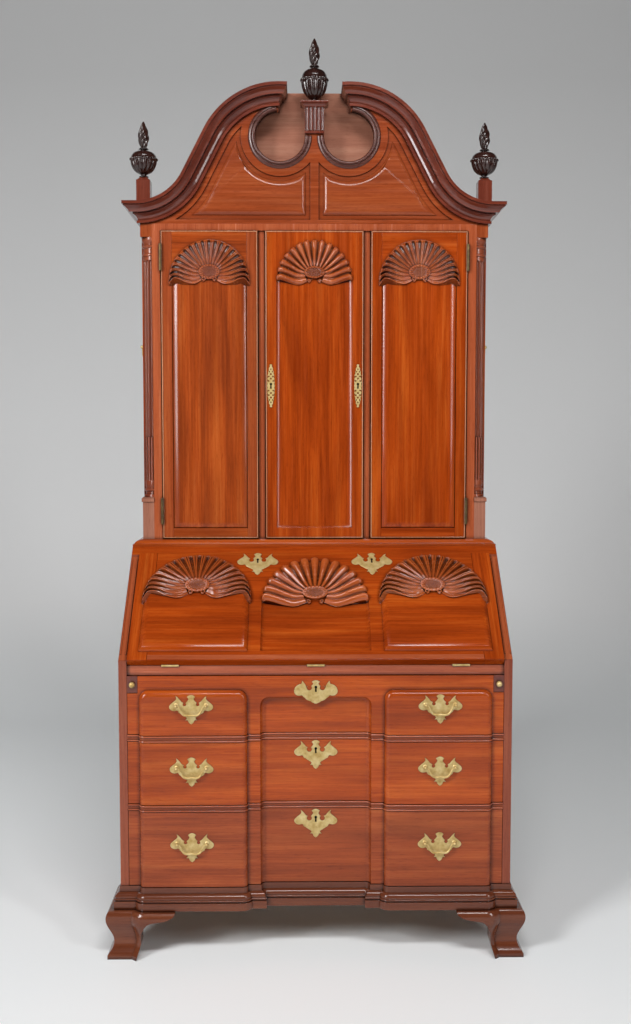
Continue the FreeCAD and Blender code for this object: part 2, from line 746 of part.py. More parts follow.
def lid_hinge_room(x, flat):
    """Room for a lid hinge's knuckle and leaf; flat on the lid, or in the desk."""
    length = LID_HINGE_LEN + 2 * KNUCKLE_GAP
    x0 = x - length / 2
    if flat:
        knuckle = Part.makeCylinder(LID_HINGE_R + KNUCKLE_GAP, length, V(x0, 0, 0), X_AXIS)
        leaf = box(x0, x0 + length, 0, LEAF_W, 0, HINGE_LEAF)
    else:
        knuckle = Part.makeCylinder(LID_HINGE_R + KNUCKLE_GAP, length, V(x0, AXIS_Y, WRITING_Z), X_AXIS)
        leaf = box(x0, x0 + length, AXIS_Y, AXIS_Y + LEAF_W, WRITING_Z - HINGE_LEAF, WRITING_Z)
    return knuckle.fuse(leaf)


HINGE_XS = (-LID_HINGE_X, 0.0, LID_HINGE_X)
EDGE_GAP = 0.6


def lid_shells():
    fan = shell(LID_SHELL_A, LID_SHELL_B, SHELL_LOW_ANGLE, SHELL_RAYS, LID_SHELL_RIM, 0)
    outer = fan.copy()
    outer.translate(V(LID_SHELL_X, LID_SHELL_S, LID_T))
    centre = fan.copy()
    centre.translate(V(0, LID_SHELL_S - 4, LID_T - LID_SINK))
    return [mirrored(outer), centre, outer]


def make_lid():
    half = INSIDE_HALF - LID_GAP
    seam = half - CLEAT_W
    board = box(-seam, seam, EDGE_GAP, LID_LEN, 0, LID_T)
    cleat = box(seam, half, EDGE_GAP, LID_LEN, 0, LID_T)
    field = frustum(LID_PANEL_IN, LID_PANEL_OUT, LID_PANEL_LOW, LID_PANEL_HIGH,
                    LID_T, LID_T + LID_PANEL_RISE, LID_BEVEL)
    sunk = frustum(-LID_CENTRE_HALF + LID_BEVEL / 2, LID_CENTRE_HALF - LID_BEVEL / 2,
                   LID_PANEL_LOW + LID_BEVEL / 2, LID_SHELL_S, LID_T - LID_SINK, LID_T + 1, -LID_BEVEL / 2)
    arch = Part.Ellipse(V(0, 0, 0), LID_SHELL_A + 1, LID_SHELL_B + 1).toShape()
    arch = Part.Face(Part.Wire(arch)).extrude(V(0, 0, 2 * LID_SINK))
    arch.translate(V(0, LID_SHELL_S - 4, LID_T - LID_SINK))
    upper = box(-2 * LID_SHELL_A, 2 * LID_SHELL_A, LID_SHELL_S - 52, 2 * LID_LEN, 0, 2 * LID_T)
    arch = arch.common(upper)
    shells = lid_shells()
    rooms = [lid_hinge_room(x, True) for x in HINGE_XS]
    board = board.cut(Part.makeCompound([sunk])).cut(arch).cut(Part.makeCompound(rooms))
    fields = Part.makeCompound(both(field)).cut(Part.makeCompound([shells[0], shells[2]]))
    save("lid_board", *[on_slope(s) for s in [board] + both(cleat) + fields.Solids])
    save("lid_shells", *[on_slope(s) for s in shells])
    brasses = []
    for side in (-1, 1):
        plate = batwing(PULL_W, PULL_H).extrude(V(0, -PLATE_T, 0))
        plate = plate.cut(keyhole(0, 0.42 * PULL_H / 2, -PLATE_T - 1, 1))
        plate.rotate(V(0, 0, 0), X_AXIS, -90)
        plate.translate(V(side * LID_ESCUTCHEON_X, LID_ESCUTCHEON_S, LID_T))
        brasses.append(on_slope(plate))
    return brasses


def lid_hinges():
    """Fixed and moving halves of the three lid hinges."""
    fixed, moving = [], []
    third = LID_HINGE_LEN / 3
    for x in HINGE_XS:
        x0 = x - LID_HINGE_LEN / 2
        middle = (x0 + third + KNUCKLE_GAP, third - 2 * KNUCKLE_GAP)
        pin = Part.makeCylinder(HINGE_PIN_R, LID_HINGE_LEN, V(x0, 0, 0), X_AXIS)
        bore = Part.makeCylinder(HINGE_PIN_R + PIN_FIT, LID_HINGE_LEN, V(x0, 0, 0), X_AXIS)
        room = Part.makeCylinder(LID_HINGE_R + KNUCKLE_GAP, middle[1] + 2 * KNUCKLE_GAP,
                                 V(middle[0] - KNUCKLE_GAP, 0, 0), X_AXIS)
        desk_leaf = box(x0, x0 + LID_HINGE_LEN, 0, LEAF_W, -HINGE_LEAF, 0).cut(room)
        ends = [Part.makeCylinder(LID_HINGE_R, third, V(start, 0, 0), X_AXIS)
                for start in (x0, x0 + 2 * third)]
        half = merged([desk_leaf] + ends + [pin])
        half.translate(V(0, AXIS_Y, WRITING_Z))
        fixed.append(half)
        room_r, room_len = LID_HINGE_R + KNUCKLE_GAP, third + KNUCKLE_GAP
        outer_rooms = [Part.makeCylinder(room_r, room_len, V(start, 0, 0), X_AXIS)
                       for start in (x0, x0 + 2 * third - KNUCKLE_GAP)]
        lid_leaf = box(x0, x0 + LID_HINGE_LEN, 0, LEAF_W, 0, HINGE_LEAF).cut(Part.makeCompound(outer_rooms))
        knuckle = Part.makeCylinder(LID_HINGE_R, middle[1], V(middle[0], 0, 0), X_AXIS)
        moving.append(on_slope(lid_leaf.fuse(knuckle).cut(bore).removeSplitter()))
    return fixed, moving


# Desk interior

PIGEON_T = 7.0
PIGEON_FRONT = 330.0
PIGEON_SHELF_RISE = 92.0
PIGEON_HOLES = 9


def pigeonholes():
    """Gallery of pigeonholes standing on the writing board."""
    low, high = WRITING_Z, DESK_UNDER
    shelf = low + PIGEON_SHELF_RISE
    y0, y1 = PIGEON_FRONT, BACK_FACE
    end = box(INSIDE_HALF - PIGEON_T, INSIDE_HALF, y0, y1, low, high)
    inner = INSIDE_HALF - PIGEON_T
    boards = both(end)
    boards.append(box(-inner, inner, y0, y1, shelf, shelf + PIGEON_T))
    pitch = 2 * inner / PIGEON_HOLES
    for i in range(1, PIGEON_HOLES):
        x = -inner + i * pitch
        boards.append(box(x - PIGEON_T / 2, x + PIGEON_T / 2, y0, y1, shelf + PIGEON_T, high))
        if i % 3 == 0:
            boards.append(box(x - PIGEON_T / 2, x + PIGEON_T / 2, y0, y1, low, shelf))
    return boards


# Bookcase

def waist_moulding():
    """Mitred moulding that holds the bookcase on the desk."""
    rows = [(0, WAIST_P), (0.30, WAIST_P), (0.34, WAIST_P - 4), (0.55, WAIST_P - 5.5),
            (0.75, WAIST_P - 10), (0.90, WAIST_P - 17), (1.0, WAIST_P - 23)]
    wires = []
    for share, off in rows:
        z = DESK_TOP_Z + share * WAIST_H
        x, y = BOOK_HALF + off, BOOK_FRONT - off
        corners = [V(-x, y, z), V(x, y, z), V(x, CASE_D, z), V(-x, CASE_D, z)]
        wires.append(Part.makePolygon(corners + corners[:1]))
    whole = Part.makeLoft(wires, True, True)
    inner = box(-BOOK_HALF, BOOK_HALF, BOOK_FRONT, CASE_D, DESK_TOP_Z, DESK_TOP_Z + WAIST_H)
    frame = whole.cut(inner)
    reach = BOOK_HALF
    wedge = [(BOOK_HALF, BOOK_FRONT), (BOOK_HALF + reach, BOOK_FRONT - reach),
             (BOOK_HALF + reach, CASE_D), (BOOK_HALF, CASE_D)]
    zones = both(prism([V(x, y, DESK_TOP_Z) for x, y in wedge], V(0, 0, WAIST_H)))
    return [frame.cut(Part.makeCompound(zones))] + [frame.common(zone) for zone in zones]


def bookcase_case():
    """Sides, floor and top board of the bookcase."""
    side = box(BOOK_INSIDE, BOOK_HALF, BOOK_FRONT + COLUMN_R, CASE_D, BOOK_Z, BOOK_TOP)
    floor = box(-BOOK_INSIDE, BOOK_INSIDE, FRAME_BACK, BACK_FACE, BOOK_Z, BOOK_Z + BOOK_BOARD_T)
    top = box(-BOOK_INSIDE, BOOK_INSIDE, FRAME_BACK, BACK_FACE, BOOK_TOP - BOOK_BOARD_T, BOOK_TOP)
    corner = box(STILE_OUT, BOOK_HALF, FRAME_BACK, BOOK_FRONT + COLUMN_R, BOOK_Z, BOOK_TOP)
    boards = [board.cut(Part.makeCompound(both(corner))) for board in (floor, top)]
    return both(side) + boards


def bookcase_back():
    count = 4
    step = 2 * BOOK_INSIDE / count
    return [box(-BOOK_INSIDE + i * step, -BOOK_INSIDE + (i + 1) * step, BACK_FACE, CASE_D, BOOK_Z, BOOK_TOP)
            for i in range(count)]


def bookcase_shelves():
    low = BOOK_Z + BOOK_BOARD_T
    high = BOOK_TOP - BOOK_BOARD_T
    front = BOOK_FRONT + COLUMN_R + 2
    return [box(-BOOK_INSIDE, BOOK_INSIDE, front, BACK_FACE, low + share * (high - low),
                low + share * (high - low) + SHELF_T) for share in SHELF_LEVELS]


PIVOT_IN = 12.0
PIVOT_BACK = 9.0
PIVOT_R = 3.0
PIVOT_LEN = 9.0
PIVOT_EDGE_R = 5.0


def pivot_place():
    """Upright axis of the centre door, just inside its right edge."""
    return CENTRE_DOOR_HALF - PIVOT_IN, DOOR_FRONT + PIVOT_BACK


def face_frame():
    """Stiles, rails and the two set-back mullions between the doors."""
    rail_low = (BOOK_Z, BOOK_Z + WAIST_H)
    rail_high = (BOOK_TOP - BOOK_BOARD_T, BOOK_TOP)
    stile = box(STILE_IN, STILE_OUT, BOOK_FRONT, FRAME_BACK, BOOK_Z, BOOK_TOP)
    x, y = pivot_place()
    rails = []
    for low, high in (rail_low, rail_high):
        rail = box(-STILE_IN, STILE_IN, BOOK_FRONT, FRAME_BACK, low, high)
        hole = Part.makeCylinder(PIVOT_R + PIN_FIT, high - low, V(x, y, low), Z_AXIS)
        rails.append(rail.cut(hole))
    mullion = box(MULLION_IN, MULLION_OUT, DOOR_FRONT + MULLION_SET, FRAME_BACK, rail_low[1], rail_high[0])
    return both(stile) + rails + both(mullion)


def quadrant(x, y, radius, low, high):
    """Room for a quarter turning at the right front corner."""
    return box(x, x + radius, y - radius, y, low, high)


def corner_pieces():
    """Fluted quarter columns with turned base and capital, and the blocks they stand between."""
    x, y = STILE_OUT, BOOK_FRONT + COLUMN_R
    low = BOOK_Z + PLINTH_H
    high = BOOK_TOP - CAPITAL_BLOCK_H
    base_top = low + COLUMN_BASE_H
    cap_low = high - CAPITAL_H
    r = COLUMN_R
    profile = [(0, low), (r, low), (r, low + 8), (r - 5, low + 11), (r - 5, low + 17), (r - 1, low + 22),
               (r - 2, low + 28), (r - 5, base_top - 3), (r - 5, base_top), (r - 4, base_top + 3),
               (r - 4, cap_low - 3), (r - 1, cap_low), (r - 2, cap_low + 6), (r - 5, cap_low + 9),
               (r - 5, cap_low + 22), (r - 1, cap_low + 26), (r - 1, cap_low + 34), (r - 5, cap_low + 37),
               (r - 1, cap_low + 43), (r, cap_low + 46), (r, high), (0, high)]
    column = turned(profile, x, y).common(quadrant(x, y, r, low, high))
    flutes = []
    for i in range(FLUTES):
        angle = math.radians(-90 * (i + 0.5) / FLUTES)
        fx, fy = x + (r - 3) * math.cos(angle), y + (r - 3) * math.sin(angle)
        flutes.append(Part.makeCylinder(FLUTE_R, cap_low - base_top - 24, V(fx, fy, base_top + 12), Z_AXIS))
    column = column.cut(Part.makeCompound(flutes))
    lip = PLINTH_LIP
    plinth = box(x, BOOK_HALF, BOOK_FRONT, y, BOOK_Z, low)
    moulding = box(x, BOOK_HALF + lip, BOOK_FRONT - lip, y, low - 4 * lip, low - lip)
    block = box(x, BOOK_HALF, BOOK_FRONT, y, high, BOOK_TOP)
    return both(column), both(plinth.fuse(moulding).removeSplitter()) + both(block)


def place_door(shape):
    """Stand a door that was drawn flat: x across, y up, z outwards from its back."""
    stood = shape.copy()
    stood.rotate(V(0, 0, 0), X_AXIS, 90)
    stood.translate(V(0, DOOR_FRONT + DOOR_T, 0))
    return stood


def door_pieces(x0, x1, raised):
    """Stiles, rails and panel of a door drawn flat, and the shell on its head."""
    z0, z1 = DOOR_LOW, DOOR_HIGH
    inner0, inner1 = x0 + DOOR_STILE, x1 - DOOR_STILE
    middle = (x0 + x1) / 2
    shell_z = z1 - DOOR_SHELL_Z
    rail_top = shell_z - DOOR_RAIL
    stiles = [box(x0, inner0, z0, z1, 0, DOOR_T), box(inner1, x1, z0, z1, 0, DOOR_T)]
    low_rail = box(inner0, inner1, z0, z0 + DOOR_RAIL, 0, DOOR_T)
    high_rail = box(inner0, inner1, rail_top, z1, 0, DOOR_T)
    fan = shell(DOOR_SHELL_A, DOOR_SHELL_B, SHELL_LOW_ANGLE, SHELL_RAYS, DOOR_SHELL_RIM, 0)
    panel_low = z0 + DOOR_RAIL
    if raised:
        fan.translate(V(middle, shell_z, DOOR_T))
        ground = DOOR_T - 3
        panel = box(inner0, inner1, panel_low, rail_top, ground - DOOR_PANEL_T, ground)
        field = frustum(inner0, inner1, panel_low, rail_top, ground, DOOR_T + DOOR_RISE - 3, DOOR_BEVEL)
        panel = panel.fuse(field).removeSplitter().cut(fan)
    else:
        sink = DOOR_RISE
        fan.translate(V(middle, shell_z, DOOR_T - sink))
        panel = box(inner0, inner1, panel_low, rail_top, DOOR_T - sink - DOOR_PANEL_T, DOOR_T - sink)
        room = Part.Ellipse(V(0, 0, 0), DOOR_SHELL_A + 1, DOOR_SHELL_B + 1).toShape()
        room = Part.Face(Part.Wire(room)).extrude(V(0, 0, 2 * sink))
        room.translate(V(middle, shell_z, DOOR_T - sink))
        high_rail = high_rail.cut(room)
        stiles = [stile.cut(room) for stile in stiles]
    wood = [place_door(s) for s in stiles + [low_rail, high_rail, panel]]
    return wood, place_door(fan)


def hinge_z():
    """Lower ends of the two hinges on an outer door."""
    return DOOR_LOW + 42, DOOR_HIGH - 38 - HINGE_LEN


def door_hinges():
    """Case and door halves of the right door's two butt hinges."""
    axis = V((STILE_IN + OUTER_DOOR_OUT) / 2, DOOR_FRONT - HINGE_R - 1, 0)
    case_half, door_half = [], []
    third = HINGE_LEN / 3
    g = KNUCKLE_GAP
    for z in hinge_z():
        def barrel(radius, low, length):
            return Part.makeCylinder(radius, length, V(axis.x, axis.y, low), Z_AXIS)

        middle_room = barrel(HINGE_R + g, z + third, third)
        end_rooms = [barrel(HINGE_R + g, z, third + g), barrel(HINGE_R + g, z + 2 * third - g, third + g)]
        case_leaf = box(STILE_IN - HINGE_LEAF, STILE_IN, axis.y, axis.y + LEAF_W, z, z + HINGE_LEN)
        door_leaf = box(OUTER_DOOR_OUT, OUTER_DOOR_OUT + HINGE_LEAF,
                        axis.y, axis.y + LEAF_W, z, z + HINGE_LEN)
        pin = barrel(HINGE_PIN_R, z, HINGE_LEN)
        case_half.append(merged([case_leaf.cut(middle_room), barrel(HINGE_R, z, third),
                                 barrel(HINGE_R, z + 2 * third, third), pin]))
        door_half.append(merged([door_leaf.cut(Part.makeCompound(end_rooms)),
                                 barrel(HINGE_R, z + third + g, third - 2 * g)])
                         .cut(barrel(HINGE_PIN_R + PIN_FIT, z, HINGE_LEN)))
    return case_half, door_half


DOOR_PLATE_W = 27.0
DOOR_PLATE_H = 124.0


def door_plate(x, z):
    """Tall pierced keyhole plate, waisted between its pointed ends."""
    w, h = DOOR_PLATE_W / 2, DOOR_PLATE_H / 2
    half = [V(0, 0, h), V(0.45 * w, 0, 0.80 * h), V(0.75 * w, 0, 0.45 * h), V(w, 0, 0.15 * h),
            V(w, 0, -0.15 * h), V(0.75 * w, 0, -0.45 * h), V(0.45 * w, 0, -0.80 * h), V(0, 0, -h)]
    outline = half + [V(-p.x, 0, p.z) for p in reversed(half[1:-1])]
    plate = prism(outline, V(0, -PLATE_T, 0)).cut(keyhole(0, 4, -PLATE_T - 1, 1))
    plate.translate(V(x, DOOR_FRONT, z))
    return plate


def rounded_edge(stile):
    """Round the centre door's front edge on the pivot side, so that it clears the mullion."""
    def at_edge(e):
        b = e.BoundBox
        return b.XMin > CENTRE_DOOR_HALF - 0.01 and b.YMax < DOOR_FRONT + 0.01

    edges = edges_where(stile, at_edge)
    return stile.makeFillet(PIVOT_EDGE_R, edges) if edges else stile


def make_doors():
    wood, fan = door_pieces(OUTER_DOOR_IN, OUTER_DOOR_OUT, True)
    case_half, door_half = door_hinges()
    for name, flip in (("right_door", False), ("left_door", True)):
        turn = mirrored if flip else (lambda shape: shape)
        save(name, *[turn(s) for s in wood])
        save(name + "_shell", turn(fan))
        save(name + "_hinges", *[turn(s) for s in door_half])
    centre, centre_fan = door_pieces(-CENTRE_DOOR_HALF, CENTRE_DOOR_HALF, False)
    x, y = pivot_place()
    pivots = [Part.makeCylinder(PIVOT_R, 2 * PIVOT_LEN, V(x, y, z - PIVOT_LEN), Z_AXIS)
              for z in (DOOR_LOW, DOOR_HIGH)]
    centre = [s.cut(Part.makeCompound(pivots)) for s in centre]
    save("centre_door", *[rounded_edge(s) for s in centre])
    save("centre_door_shell", centre_fan)
    plate_x = CENTRE_DOOR_HALF - DOOR_STILE / 2
    plate_z = (DOOR_LOW + DOOR_HIGH) / 2
    plates = [door_plate(side * plate_x, plate_z) for side in (-1, 1)]
    case_lock = lock_case(-CENTRE_DOOR_HALF + DOOR_STILE, DOOR_FRONT + DOOR_T, plate_z)
    save("centre_door_brasses", *plates, case_lock, *pivots)
    return case_half + [mirrored(s) for s in case_half]


# Scroll pediment: the cornice's lower edge is two arcs and the line that touches both

PEDIMENT_Z = BOOK_TOP
LOW_C = V(BOOK_HALF + SCROLL_OUT, 0, PEDIMENT_Z + SCROLL_LOW_R)
HIGH_C = V(SCROLL_HIGH_X, 0, PEDIMENT_Z + SCROLL_HIGH_RISE)


def scroll_turn():
    """Angle that the lower arc turns through before the straight run."""
    dx = LOW_C.x - HIGH_C.x
    dz = LOW_C.z - HIGH_C.z
    reach = math.hypot(dx, dz)
    return math.asin((SCROLL_LOW_R + SCROLL_HIGH_R) / reach) - math.atan2(dz, dx)


TURN = scroll_turn()


def scroll_points(rise):
    """Points of the right scroll's line, raised by a distance along its normal."""
    low_r = SCROLL_LOW_R - rise
    high_r = SCROLL_HIGH_R + rise
    end = math.asin((SCROLL_END_X - HIGH_C.x) / high_r)

    def on_low(angle):
        return V(LOW_C.x - low_r * math.sin(angle), 0, LOW_C.z - low_r * math.cos(angle))

    def on_high(angle):
        return V(HIGH_C.x + high_r * math.sin(angle), 0, HIGH_C.z + high_r * math.cos(angle))

    return {"start": on_low(0), "low_mid": on_low(TURN / 2), "low_end": on_low(TURN),
            "high_start": on_high(TURN), "high_mid": on_high((TURN + end) / 2), "high_end": on_high(end)}


def scroll_edges(rise):
    """Right scroll's line from the outer corner to the scroll's end."""
    p = scroll_points(rise)
    corner = V(BOOK_HALF, 0, p["start"].z)
    edges = [arc(p["start"], p["low_mid"], p["low_end"]), line(p["low_end"], p["high_start"]),
             arc(p["high_start"], p["high_mid"], p["high_end"])]
    return corner, edges, p["high_end"]


def under_scroll(rise, floor):
    """Face under the right scroll's line, from the middle plane to the corner."""
    corner, edges, end = scroll_edges(rise)
    foot_out = V(edges[0].Vertexes[0].X, 0, floor)
    closing = [line(end, V(0, 0, end.z)), line(V(0, 0, end.z), V(0, 0, floor)),
               line(V(0, 0, floor), foot_out), line(foot_out, edges[0].Vertexes[0].Point)]
    face = Part.Face(Part.Wire(Part.__sortEdges__(edges + closing)))
    return face


CORNICE_ROWS = ((0.0, 0.18), (0.13, 0.18), (0.13, 0.11), (0.22, 0.13), (0.31, 0.19), (0.38, 0.28),
                (0.43, 0.40), (0.50, 0.40), (0.50, 0.60), (0.58, 0.64), (0.66, 0.72), (0.73, 0.83),
                (0.78, 0.92), (0.84, 0.92),
                (0.84, 1.0), (1.0, 1.0))


def cornice_profile():
    """Cornice section as (rise along the normal, projection) points."""
    rows = [(rise * CORNICE_H, out * CORNICE_P) for rise, out in CORNICE_ROWS]
    return [(0, 0)] + rows + [(CORNICE_H, 0)]


def cornice_section(origin, normal, outward):
    wire = Part.makePolygon([origin + normal * rise + outward * out for rise, out in cornice_profile()]
                            + [origin])
    return Part.Face(wire)


def cornice():
    """Front scroll, side return and end return of the right half, mitred together."""
    out = V(0, -1, 0)
    front_y = V(0, BOOK_FRONT, 0)
    p = scroll_points(0)
    start = p["start"] + front_y
    flat = cornice_section(start, Z_AXIS, out).extrude(V(2 * CORNICE_P, 0, 0))
    low = cornice_section(start, Z_AXIS, out)
    low = low.revolve(LOW_C + front_y, Y_AXIS, math.degrees(TURN))
    normal = V(math.sin(TURN), 0, math.cos(TURN))
    straight = cornice_section(p["low_end"] + front_y, normal, out)
    straight = straight.extrude(p["high_start"] - p["low_end"])
    high = cornice_section(p["high_start"] + front_y, normal, out)
    over = TURN + math.asin(min(1.0, CORNICE_P / SCROLL_HIGH_R))
    high = high.revolve(HIGH_C + front_y, Y_AXIS, -math.degrees(over))
    scroll = merged([flat, low, straight, high])
    reach = 10 * CORNICE_P
    low_z, high_z = PEDIMENT_Z - reach, PEDIMENT_Z + 2 * reach
    corner_zone = [(BOOK_HALF, BOOK_FRONT), (BOOK_HALF + reach, BOOK_FRONT - reach),
                   (BOOK_HALF + reach, CASE_D), (BOOK_HALF, CASE_D)]
    corner_zone = prism([V(x, y, low_z) for x, y in corner_zone], V(0, 0, high_z - low_z))
    lean = SCROLL_RETURN_P / CORNICE_P
    end_zone = [(SCROLL_END_X, BOOK_FRONT), (SCROLL_END_X, CASE_D), (-reach, CASE_D),
                (-reach, BOOK_FRONT - reach), (SCROLL_END_X - lean * reach, BOOK_FRONT - reach)]
    end_zone = prism([V(x, y, low_z) for x, y in end_zone], V(0, 0, high_z - low_z))
    scroll = scroll.cut(Part.makeCompound([corner_zone, end_zone]))
    side = cornice_section(V(BOOK_HALF, BOOK_FRONT - 2 * CORNICE_P, start.z), Z_AXIS, X_AXIS)
    side = side.extrude(V(0, CASE_D - BOOK_FRONT + 2 * CORNICE_P, 0)).common(corner_zone)
    end = scroll_points(0)["high_end"]
    end_z = V(SCROLL_END_X, BOOK_FRONT - 2 * CORNICE_P, end.z)
    inner = cornice_section(end_z, Z_AXIS, V(-lean, 0, 0))
    inner = inner.extrude(V(0, 2 * CORNICE_P + INNER_BOARD_Y, 0)).common(end_zone)
    return [scroll, side, inner]


def ring_centre(side):
    return V(side * RING_X, 0, PEDIMENT_Z + RING_RISE)


def disc(side, radius, y0, y1):
    centre = ring_centre(side)
    return Part.makeCylinder(radius, y1 - y0, V(centre.x, y0, centre.z), Y_AXIS)


def tympanum_half(rise, floor, y0, y1):
    """Board under the right scroll, as far as the scroll's end and down to a floor."""
    deep = PEDIMENT_Z - SCROLL_LOW_R
    board = under_scroll(rise, deep).extrude(V(0, y1 - y0, 0))
    board.translate(V(0, y0, 0))
    start = scroll_points(rise)["start"]
    if start.x < BOOK_HALF:
        board = board.fuse(box(start.x - 1, BOOK_HALF, y0, y1, deep, start.z))
    return board.common(box(0, BOOK_HALF, y0, y1, floor, floor + 10 * CORNICE_H))


NECK_HALF = RING_X - RING_R
CENTRE_PLINTH_LOW = PEDIMENT_Z + CENTRE_PLINTH_Z


def well(y0, y1):
    """Open space between the scrolls: two discs and the gap over them."""
    ring_z = ring_centre(1).z
    gap = box(-SCROLL_END_X, SCROLL_END_X, y0, y1, ring_z, ring_z + 8 * CORNICE_H)
    neck = box(-NECK_HALF, NECK_HALF, y0 - 1, y1 + 1, ring_z - RING_R, CENTRE_PLINTH_LOW)
    discs = [disc(side, RING_R, y0, y1) for side in (-1, 1)]
    kept = neck.common(box(-NECK_HALF, NECK_HALF, y0, y1, ring_z, CENTRE_PLINTH_LOW))
    return gap.multiFuse(discs).cut(kept)


def sunk_field(edge, floor, mullion, ring_r, y0, y1):
    """Right panel's outline: under the scroll, outside the ring, beside the middle bar."""
    field = tympanum_half(-edge, floor, y0, y1)
    field = field.cut(disc(1, ring_r, y0 - 1, y1 + 1))
    field = field.common(box(mullion, BOOK_HALF - edge, y0 - 1, y1 + 1, floor, floor + 9 * CORNICE_H))
    return max(field.Solids, key=lambda s: s.CenterOfMass.x)


def make_pediment():
    y0, y1 = BOOK_FRONT, BOOK_FRONT + TYMPANUM_T
    roof_low = CORNICE_H - ROOF_T
    board = tympanum_half(roof_low, PEDIMENT_Z, y0, y1)
    board = merged(both(board)).cut(well(y0 - 1, y1 + 1))
    floor = PEDIMENT_Z + SUNK_BOTTOM
    sunk = sunk_field(SUNK_EDGE, floor, SUNK_MULLION, SUNK_RING_R, y0 - 1, y0 + SUNK_D)
    save("tympanum", board.cut(Part.makeCompound(both(sunk))))
    wires = []
    for inset, y in ((0, y0 + SUNK_D), (FIELD_BEVEL, y0 + SUNK_D - FIELD_RISE)):
        step = FIELD_IN + inset
        field = sunk_field(SUNK_EDGE + step * 1.3, floor + step, SUNK_MULLION + step,
                           SUNK_RING_R + step, y, y + 1)
        front = min(field.Faces, key=lambda f: f.BoundBox.YMax)
        wires.append(front.OuterWire)
    field = Part.makeLoft(wires, True, True)
    save("tympanum_panels", *both(field))
    pieces = cornice()
    save("cornice", *(pieces + [mirrored(s) for s in pieces]))
    save("scroll_rings", *scroll_rings(y0))
    save("bonnet", *bonnet(roof_low))


def scroll_rings(y0):
    """Raised moulding round the edge of each round opening, meeting under the middle plinth."""
    rings = []
    for side in (-1, 1):
        outer = disc(side, RING_R + RING_W, y0 - RING_P, y0)
        ring = outer.cut(disc(side, RING_R, y0 - RING_P - 1, y0 + 1))
        edge_x = side * SCROLL_END_X
        z = ring_centre(side).z
        above = box(min(edge_x, -edge_x), max(edge_x, -edge_x), y0 - RING_P - 1, y0 + 1, z, z + 4 * RING_R)
        ring = ring.cut(above)
        half = tympanum_half(0, PEDIMENT_Z, y0 - RING_P, y0)
        ring = ring.common(half if side > 0 else mirrored(half))
        ring = max(ring.Solids, key=lambda s: s.Volume)
        rings.append(ring)
    return rings


def bonnet(roof_low):
    """Roof that follows the scrolls, its side and back boards and the board behind the openings."""
    y0 = BOOK_FRONT + TYMPANUM_T
    upper = tympanum_half(CORNICE_H, PEDIMENT_Z, BOOK_FRONT, CASE_D)
    lower = tympanum_half(roof_low, PEDIMENT_Z, BOOK_FRONT - 1, CASE_D + 1)
    roof = upper.cut(lower)
    roof = roof.common(box(SCROLL_END_X, BOOK_HALF, BOOK_FRONT, CASE_D,
                           PEDIMENT_Z, PEDIMENT_Z + 9 * CORNICE_H))
    roof = max(roof.Solids, key=lambda s: s.Volume)
    side_high = scroll_points(roof_low)["start"].z
    side = box(BOOK_INSIDE, BOOK_HALF, y0, BACK_FACE, PEDIMENT_Z, side_high)
    back = tympanum_half(roof_low, PEDIMENT_Z, BACK_FACE, CASE_D)
    back = merged(both(back))
    flat_z = scroll_points(CORNICE_H)["high_end"].z
    inner_y = BOOK_FRONT + INNER_BOARD_Y
    inner = tympanum_half(roof_low, PEDIMENT_Z, inner_y, inner_y + BOX_T)
    inner = merged(both(inner))
    crest = box(-SCROLL_END_X, SCROLL_END_X, inner_y, CASE_D, scroll_points(roof_low)["high_end"].z, flat_z)
    wide = BOOK_INSIDE
    inner = inner.common(box(-wide, wide, inner_y, inner_y + BOX_T, PEDIMENT_Z, flat_z))
    crest = crest.cut(Part.makeCompound([back, inner]))
    return both(roof) + both(side) + [back, inner, crest]


# Finials

def square_plinth(width, depth, x, y, low, high):
    return box(x - width / 2, x + width / 2, y - depth / 2, y + depth / 2, low, high)


def pyramid(width, depth, top, x, y, low, high):
    """Tapered block from one rectangle to a smaller or larger one."""
    def ring(w, d, z):
        a, b = w / 2, d / 2
        return Part.makePolygon([V(x - a, y - b, z), V(x + a, y - b, z), V(x + a, y + b, z),
                                 V(x - a, y + b, z), V(x - a, y - b, z)])
    return Part.makeLoft([ring(width, depth, low), ring(width * top, depth * top, high)], True, True)


def centre_plinth(y):
    """Fluted plinth on the neck between the scrolls, under a flared cap."""
    low = CENTRE_PLINTH_LOW
    cap = low + CENTRE_PLINTH_H
    w, d = CENTRE_PLINTH_W, CENTRE_PLINTH_D
    shaft = square_plinth(w, d, 0, y, low, cap)
    flutes = []
    count = 5
    for i in range(count):
        x = -w / 2 + w * (i + 0.5) / count
        flutes.append(Part.makeCylinder(w / count * 0.36, cap - low - 8, V(x, y - d / 2, low + 8), Z_AXIS))
    shaft = shaft.cut(Part.makeCompound(flutes))
    spread = 1 + 2 * PLINTH_CAP_P / w
    flare = pyramid(w, d, spread, 0, y, cap, cap + PLINTH_CAP_H * 0.66)
    slab = square_plinth(w * spread, d * spread, 0, y, cap + PLINTH_CAP_H * 0.66, cap + PLINTH_CAP_H)
    return shaft.multiFuse([flare, slab]), cap + PLINTH_CAP_H


def side_plinth(x, y, low):
    high = low + SIDE_PLINTH_H
    block = square_plinth(SIDE_PLINTH_W, SIDE_PLINTH_W, x, y, low, high - 10)
    point = pyramid(SIDE_PLINTH_W, SIDE_PLINTH_W, 0.45, x, y, high - 10, high)
    return block.fuse(point), high


